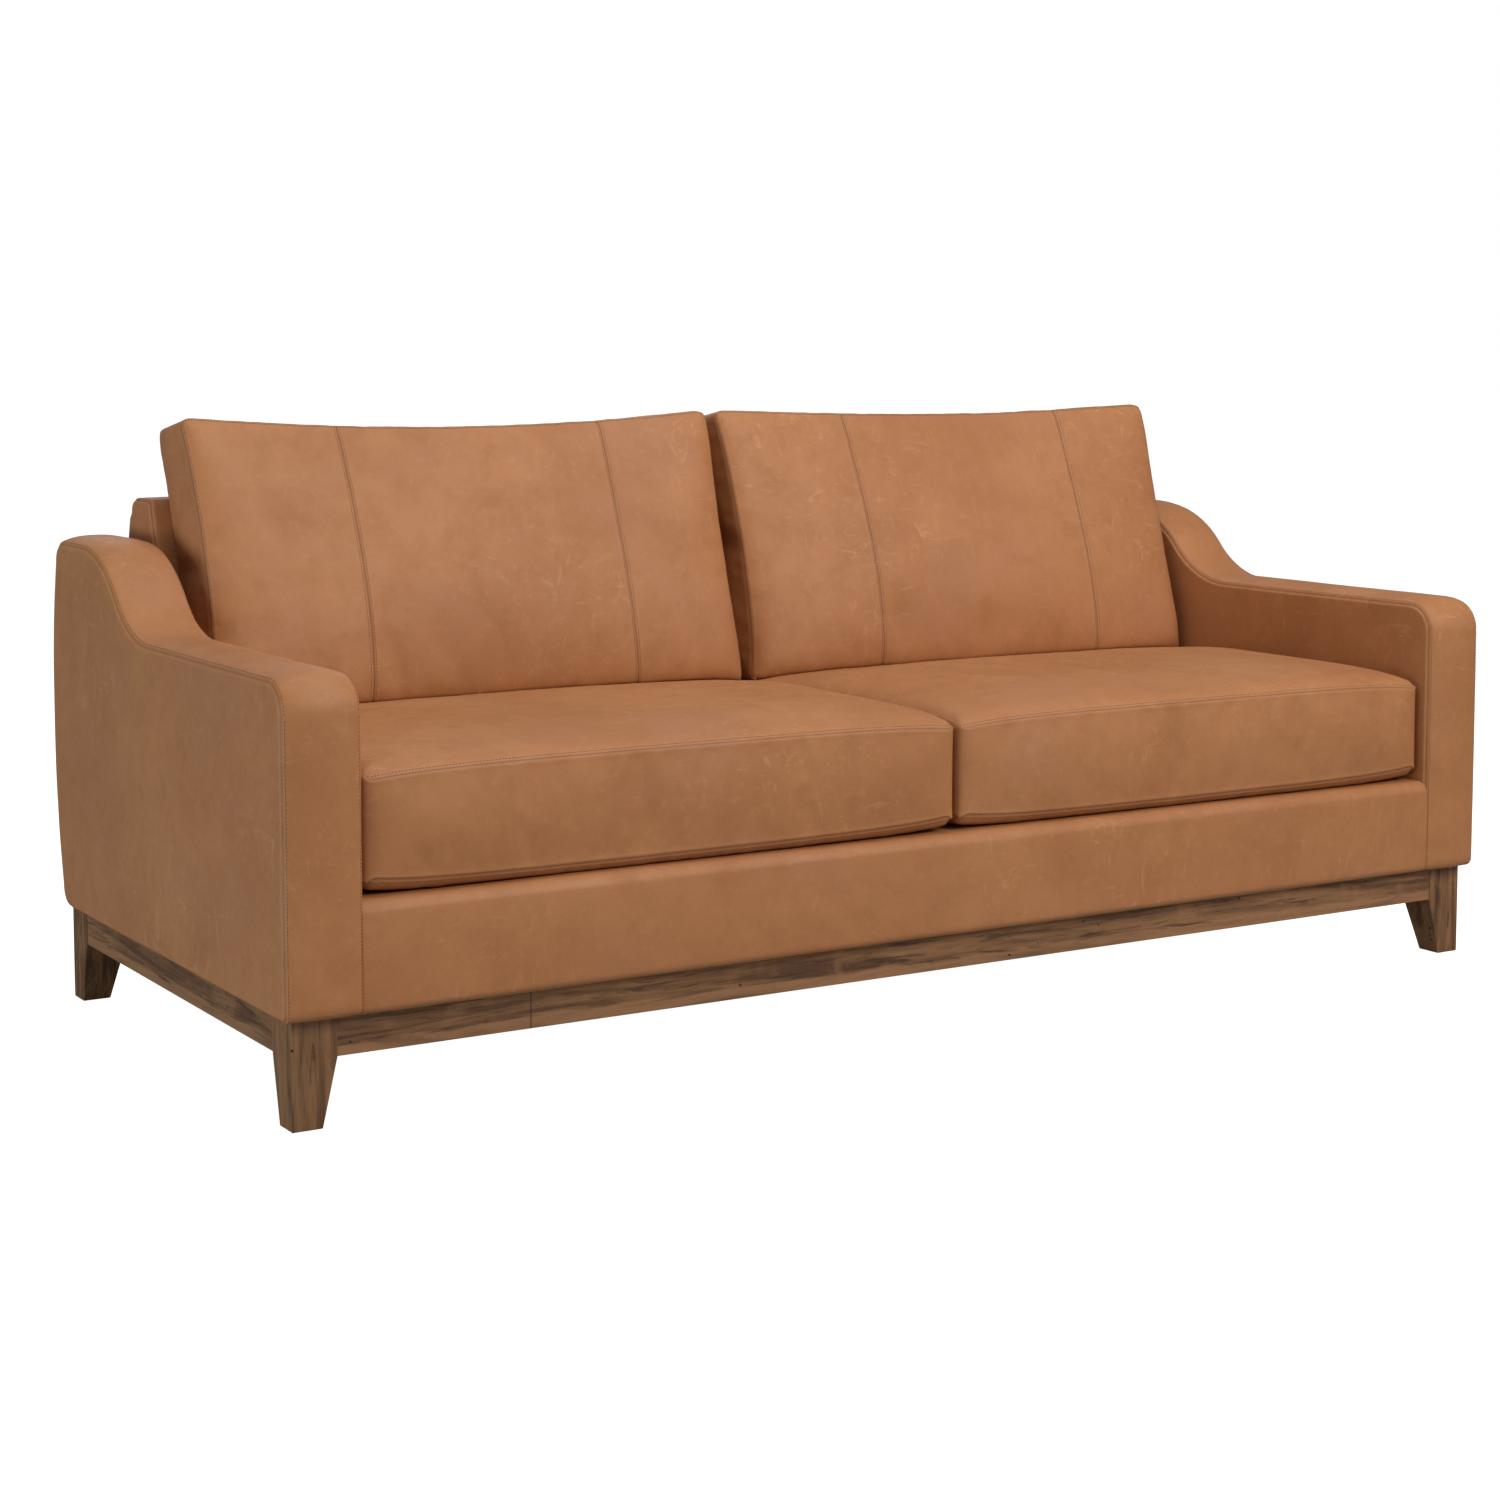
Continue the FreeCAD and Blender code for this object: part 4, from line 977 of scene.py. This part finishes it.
def build_border(leather):
    """Front border: rounded under at the bottom, rolled over the front of the deck, and tucked in where
    its ends are sewn to the arms."""
    low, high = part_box("front_border_cover")
    front, bottom, top, rear = low.y, low.z - HEM_DROP, high.z, high.y
    roll = 18 * MM
    under = 11 * MM
    quarter = math.pi / 2
    profile = [(front + 0.035, bottom)]
    profile += arc((front + under, bottom + under), under, -quarter, -math.pi, 6)
    profile += [(front, z) for z in np.linspace(bottom + under, top - roll, 18)[1:-1]]
    profile += arc((front + roll, top - roll), roll, math.pi, quarter, 8)
    profile += [(y, top) for y in np.linspace(front + roll, rear, 9)[1:]]
    profile = np.array(profile)
    edge = abs(high.x) + 7.0 * MM
    inset_lines = np.array([0.0, 1.0, 2.0, 3.2, 4.6, 6.3, 9.0]) * MM
    last_even = edge - 0.016
    even_lines = np.linspace(-last_even, last_even, 215)
    xs = np.concatenate([-edge + inset_lines, even_lines, edge - inset_lines[::-1]])
    height = np.clip((profile[:, 1] - bottom) / (top - bottom), 0, 1)
    belly = 2.5 * MM * np.sin(np.pi * height) * (profile[:, 0] < front + 0.001)
    rows = []
    tuck = 2.2 * MM * np.exp(-((edge - np.abs(xs)) / (2.5 * MM)) ** 2)
    for (y, z), out in zip(profile, belly):
        rows.append(np.column_stack([xs, y - out + tuck, np.full(len(xs), z)]))
    outer = np.stack(rows)
    inner = outer.copy()
    centre = np.array([front + 0.055, (top + bottom) / 2])
    for row in inner:
        toward = centre - row[0, 1:]
        step = toward / np.linalg.norm(toward) * 2.5 * MM
        row[:, 1:] += step
    count = outer.shape[0] * outer.shape[1]
    first = np.arange(count).reshape(outer.shape[:2])
    second = count + first
    walls = [grid_faces(first), grid_faces(second, flip=True)]
    for edge_a, edge_b in ((first[0], second[0]), (second[-1], first[-1]), (second[:, 0], first[:, 0]),
                           (first[:, -1], second[:, -1])):
        walls.append(grid_faces(np.stack([edge_a, edge_b]), flip=True))
    border = make_object("front_border", np.concatenate([outer.reshape(-1, 3), inner.reshape(-1, 3)]),
                         np.concatenate(walls), leather)
    soften(border, 0.8 * MM, 41)
    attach(border, "sofa_frame")
    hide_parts("front_border_cover", "front_border_padding")


def build_seat_cushion(side, leather, thread):
    body = "seat_cushion_" + side
    low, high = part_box("seat_cushion_core_" + side)
    skin = 2 * MM
    middle = (low + high) / 2
    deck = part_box("deck_cloth")[1].z
    half = (high.x - low.x) / 2 + skin
    rear = high.y + skin
    seam_bottom, seam_top = SEAT_SEAMS
    cushion = BoxCushion(2 * half - 3 * MM, high.y - low.y + 2 * skin - 12 * MM, seam_top - seam_bottom,
                         radius=17 * MM, pull=1 * MM, pinch=0.14)
    cushion.inflate(body, crown=19 * MM, under=12 * MM, side=9 * MM, roll=15 * MM)

    def shaping(points):
        points = points + np.array([middle.x, middle.y, (seam_top + seam_bottom) / 2])
        points[:, 0] = np.clip(points[:, 0], middle.x - half + 0.6 * MM, middle.x + half - 0.6 * MM)
        points[:, 1] = np.minimum(points[:, 1], rear)
        points[:, 0] += SEAT_SPLIT * (1 - np.abs(points[:, 0]) / (abs(middle.x) + half))
        pressed = np.clip((points[:, 1] + 0.06) / 0.16, 0, 1)
        pressed *= np.clip((points[:, 2] - seam_top + 5 * MM) / (20 * MM), 0, 1)
        points[:, 2] -= SEAT_SUNK * pressed ** 2 * (3 - 2 * pressed)
        points[:, 2] = np.maximum(points[:, 2], deck + 1 * MM)
        return points

    cushion.place(shaping)
    obj, distance = cushion.build("seat_cushion_" + side, leather)
    soften(obj, 0.9 * MM, 51 if side == "left" else 57)
    sew(obj, distance)
    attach(obj, body)
    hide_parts("seat_cushion_core_" + side, "seat_cushion_cover_" + side)
    surface = surface_of(obj)
    sew_cushion("seat_stitching_" + side, cushion, obj, surface, thread, body)
    return surface


def sew_cushion(name, cushion, obj, surface, thread, body):
    stitches = []
    for line, closed in cushion.stitch_rows(obj):
        stitches += stitch_line(line, surface, closed)
    sewing = make_stitches(name, stitches, thread)
    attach(sewing, body)


def build_back_cushion(side, leather, thread, seat_surface):
    body = "back_cushion_" + side
    low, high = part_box("back_cushion_core_" + side)
    skin = 2 * MM
    middle_x = (low.x + high.x) / 2 + PILLOW_SHIFT
    bottom = low.z - skin - PILLOW_SINK
    top = PILLOW_TOP
    rise = (top - bottom) / math.cos(BACK_LEAN)
    length = high.x - low.x + 2 * skin
    cushion = BoxCushion(length, rise - 4 * MM, PILLOW_THICKNESS - 6 * MM,
                         radius=20 * MM, pull=9 * MM, pinch=0.22)
    cushion.inflate(body, crown=27 * MM, under=8 * MM, side=8 * MM, roll=20 * MM)

    def shaping(points):
        """From the cushion's own frame, with Z towards the sofa's front and Y up the leaning back."""
        placed = np.empty_like(points)
        for number, (along, up, out) in enumerate(points):
            share = up / rise + 0.5
            out += max(0.0, out - PILLOW_THICKNESS / 2) * PILLOW_SAG * (0.5 - share)
            depth = 0.5 - out / PILLOW_THICKNESS
            z = bottom + share * (top - bottom) - PILLOW_REAR_DROP * share * depth
            z -= PILLOW_DIP[side] * max(0.0, share) ** 3 * (1 - (2 * along / length) ** 2)
            z = max(z, bottom)
            y = back_y(z, -PILLOW_GAP) - (out + PILLOW_THICKNESS / 2) / math.cos(BACK_LEAN)
            y = min(y, back_y(z, -PILLOW_GAP))
            if z < bottom + 60 * MM:
                hit = seat_surface.ray_cast(Vector((middle_x + along, y, top)), Vector((0, 0, -1)))[0]
                if hit is not None:
                    z = max(z, hit.z + 1 * MM)
            placed[number] = (middle_x + along, y, z)
        return placed

    cushion.place(shaping)
    panels = [round(cushion.columns * share * 2) / 2 for share in PANEL_SHARES]
    obj, distance = cushion.build("back_cushion_" + side, leather, panels)
    soften(obj, 1.2 * MM, 71 if side == "left" else 77)
    sew(obj, distance)
    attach(obj, body)
    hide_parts("back_cushion_core_" + side, "back_cushion_cover_" + side)
    sew_cushion("back_stitching_" + side, cushion, obj, surface_of(obj), thread, body)


def build_zip(kind, side, brass, tape):
    """Closed zip chain under its CAD slider: a tape with two rows of interlocked teeth."""
    sign = SIDES[side]
    body = "%s_cushion_%s" % (kind, side)
    low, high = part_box("%s_cushion_zip_slider_%s" % (kind, side))
    slider = (low + high) / 2
    outward = Vector((0, 1, 0)) if kind == "seat" else Vector((0, 0, -1))
    across = Vector((0, 0, 1)) if kind == "seat" else Vector((0, 1, 0))
    foot = slider - outward * (slider.dot(outward) - ZIP_FOOT[kind] * (1 if kind == "seat" else -1))
    form = bmesh.new()

    def add_block(centre, size):
        made = bmesh.ops.create_cube(form, size=1.0)["verts"]
        for vert in made:
            vert.co = centre + Vector((1, 0, 0)) * vert.co.x * size[0] \
                + across * vert.co.y * size[1] + outward * vert.co.z * size[2]
        return made

    start, end = (sign * reach for reach in ZIP_REACH)
    count = int(abs(end - start) / ZIP_TOOTH_PITCH)
    for number in range(count):
        x = start + (end - start) * (number + 0.5) / count
        row = -1 if number % 2 else 1
        centre = Vector((x, foot.y, foot.z)) + outward * 2.2 * MM + across * row * 0.7 * MM
        add_block(centre, (1.5 * MM, 3.4 * MM, 1.3 * MM))
    bmesh.ops.bevel(form, geom=list(form.edges), offset=0.25 * MM, segments=1, affect="EDGES")
    chain = object_from(form, "%s_zip_teeth_%s" % (kind, side), brass)

    form = bmesh.new()
    rows = 60
    for number in range(rows + 1):
        x = start + (end - start) * number / rows
        for share, height in ((-7, 0.2), (-3, 1.0), (0, 1.3), (3, 1.0), (7, 0.2)):
            form.verts.new(Vector((x, foot.y, foot.z)) + across * share * MM + outward * height * MM)
    form.verts.ensure_lookup_table()
    for number in range(rows):
        for part in range(4):
            first = number * 5 + part
            form.faces.new([form.verts[i] for i in (first, first + 1, first + 6, first + 5)])
    bmesh.ops.recalc_face_normals(form, faces=form.faces)
    strip = object_from(form, "%s_zip_tape_%s" % (kind, side), tape)
    thicken = strip.modifiers.new("cloth", "SOLIDIFY")
    thicken.thickness = 0.4 * MM
    thicken.offset = 0
    for piece, slot in ((chain, "zip_brass"), (strip, "deck_fabric")):
        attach(piece, body)


def object_from(form, name, material):
    mesh = bpy.data.meshes.new(name)
    form.to_mesh(mesh)
    form.free()
    mesh.materials.append(material)
    obj = bpy.data.objects.new(name, mesh)
    bpy.context.scene.collection.objects.link(obj)
    return obj


def dress_frame_nodes():
    """Materials for the CAD pieces that stay as they are."""
    wood = {axis: wood_material("weathered_wood_" + "xyz"[axis], axis) for axis in (0, 1, 2)}
    timber = plain_material("frame_timber", (196, 166, 124), (168, 134, 92), 3.0, 0.7, 0.3 * MM,
                            stretch=(1, 8, 30))
    plywood = plain_material("plywood", (206, 178, 136), (184, 152, 108), 4.0, 0.7, 0.2 * MM,
                             stretch=(20, 1, 6))
    steel = plain_material("steel", (150, 152, 156), (110, 112, 116), 80.0, 0.4, 0.1 * MM, metallic=0.9)
    brass = plain_material("zip_brass", (176, 140, 78), (128, 98, 50), 120.0, 0.35, 0.1 * MM, metallic=0.9)
    nylon = plain_material("glide_nylon", (44, 41, 38), (28, 26, 24), 150.0, 0.6, 0.1 * MM)
    foam = plain_material("foam", (228, 218, 186), (212, 200, 164), 300.0, 0.9, 0.4 * MM)
    deck = woven_material("deck_cloth", (120, 84, 56), (92, 62, 40), 900)
    dust = woven_material("dust_cloth", (30, 30, 30), (14, 14, 14), 1200)
    webbing = woven_material("webbing", (70, 58, 46), (40, 33, 26), 700)
    for kind in ("seat", "back"):
        for side in SIDES:
            build_zip(kind, side, brass, deck)
    by_slot = {"frame_timber": timber, "plywood": plywood, "screw_steel": steel, "spring_steel": steel,
               "zip_brass": brass, "glide_nylon": nylon, "foam": foam, "deck_fabric": deck,
               "dust_fabric": dust, "webbing": webbing}
    slots = {entry["node"]: entry["material_slot"] for entry in frame["record"]["subparts"]}
    for name, obj in frame["nodes"].items():
        if slots[name] == "base_wood":
            axis = 2 if name.startswith("leg") else (0 if name.endswith(("front", "rear")) else 1)
            material = wood[axis]
        elif slots[name] in by_slot:
            material = by_slot[slots[name]]
        else:
            continue
        obj.data.materials.clear()
        obj.data.materials.append(material)


add_camera()
add_studio()
dress_frame_nodes()
leather = leather_material()
thread = plain_material("thread", (122, 78, 48), (96, 60, 36), 900.0, 0.7, 0.05 * MM)
for side in SIDES:
    build_arm(side, leather, thread)
build_back(leather)
build_border(leather)
for side in SIDES:
    seat_surface = build_seat_cushion(side, leather, thread)
    build_back_cushion(side, leather, thread, seat_surface)
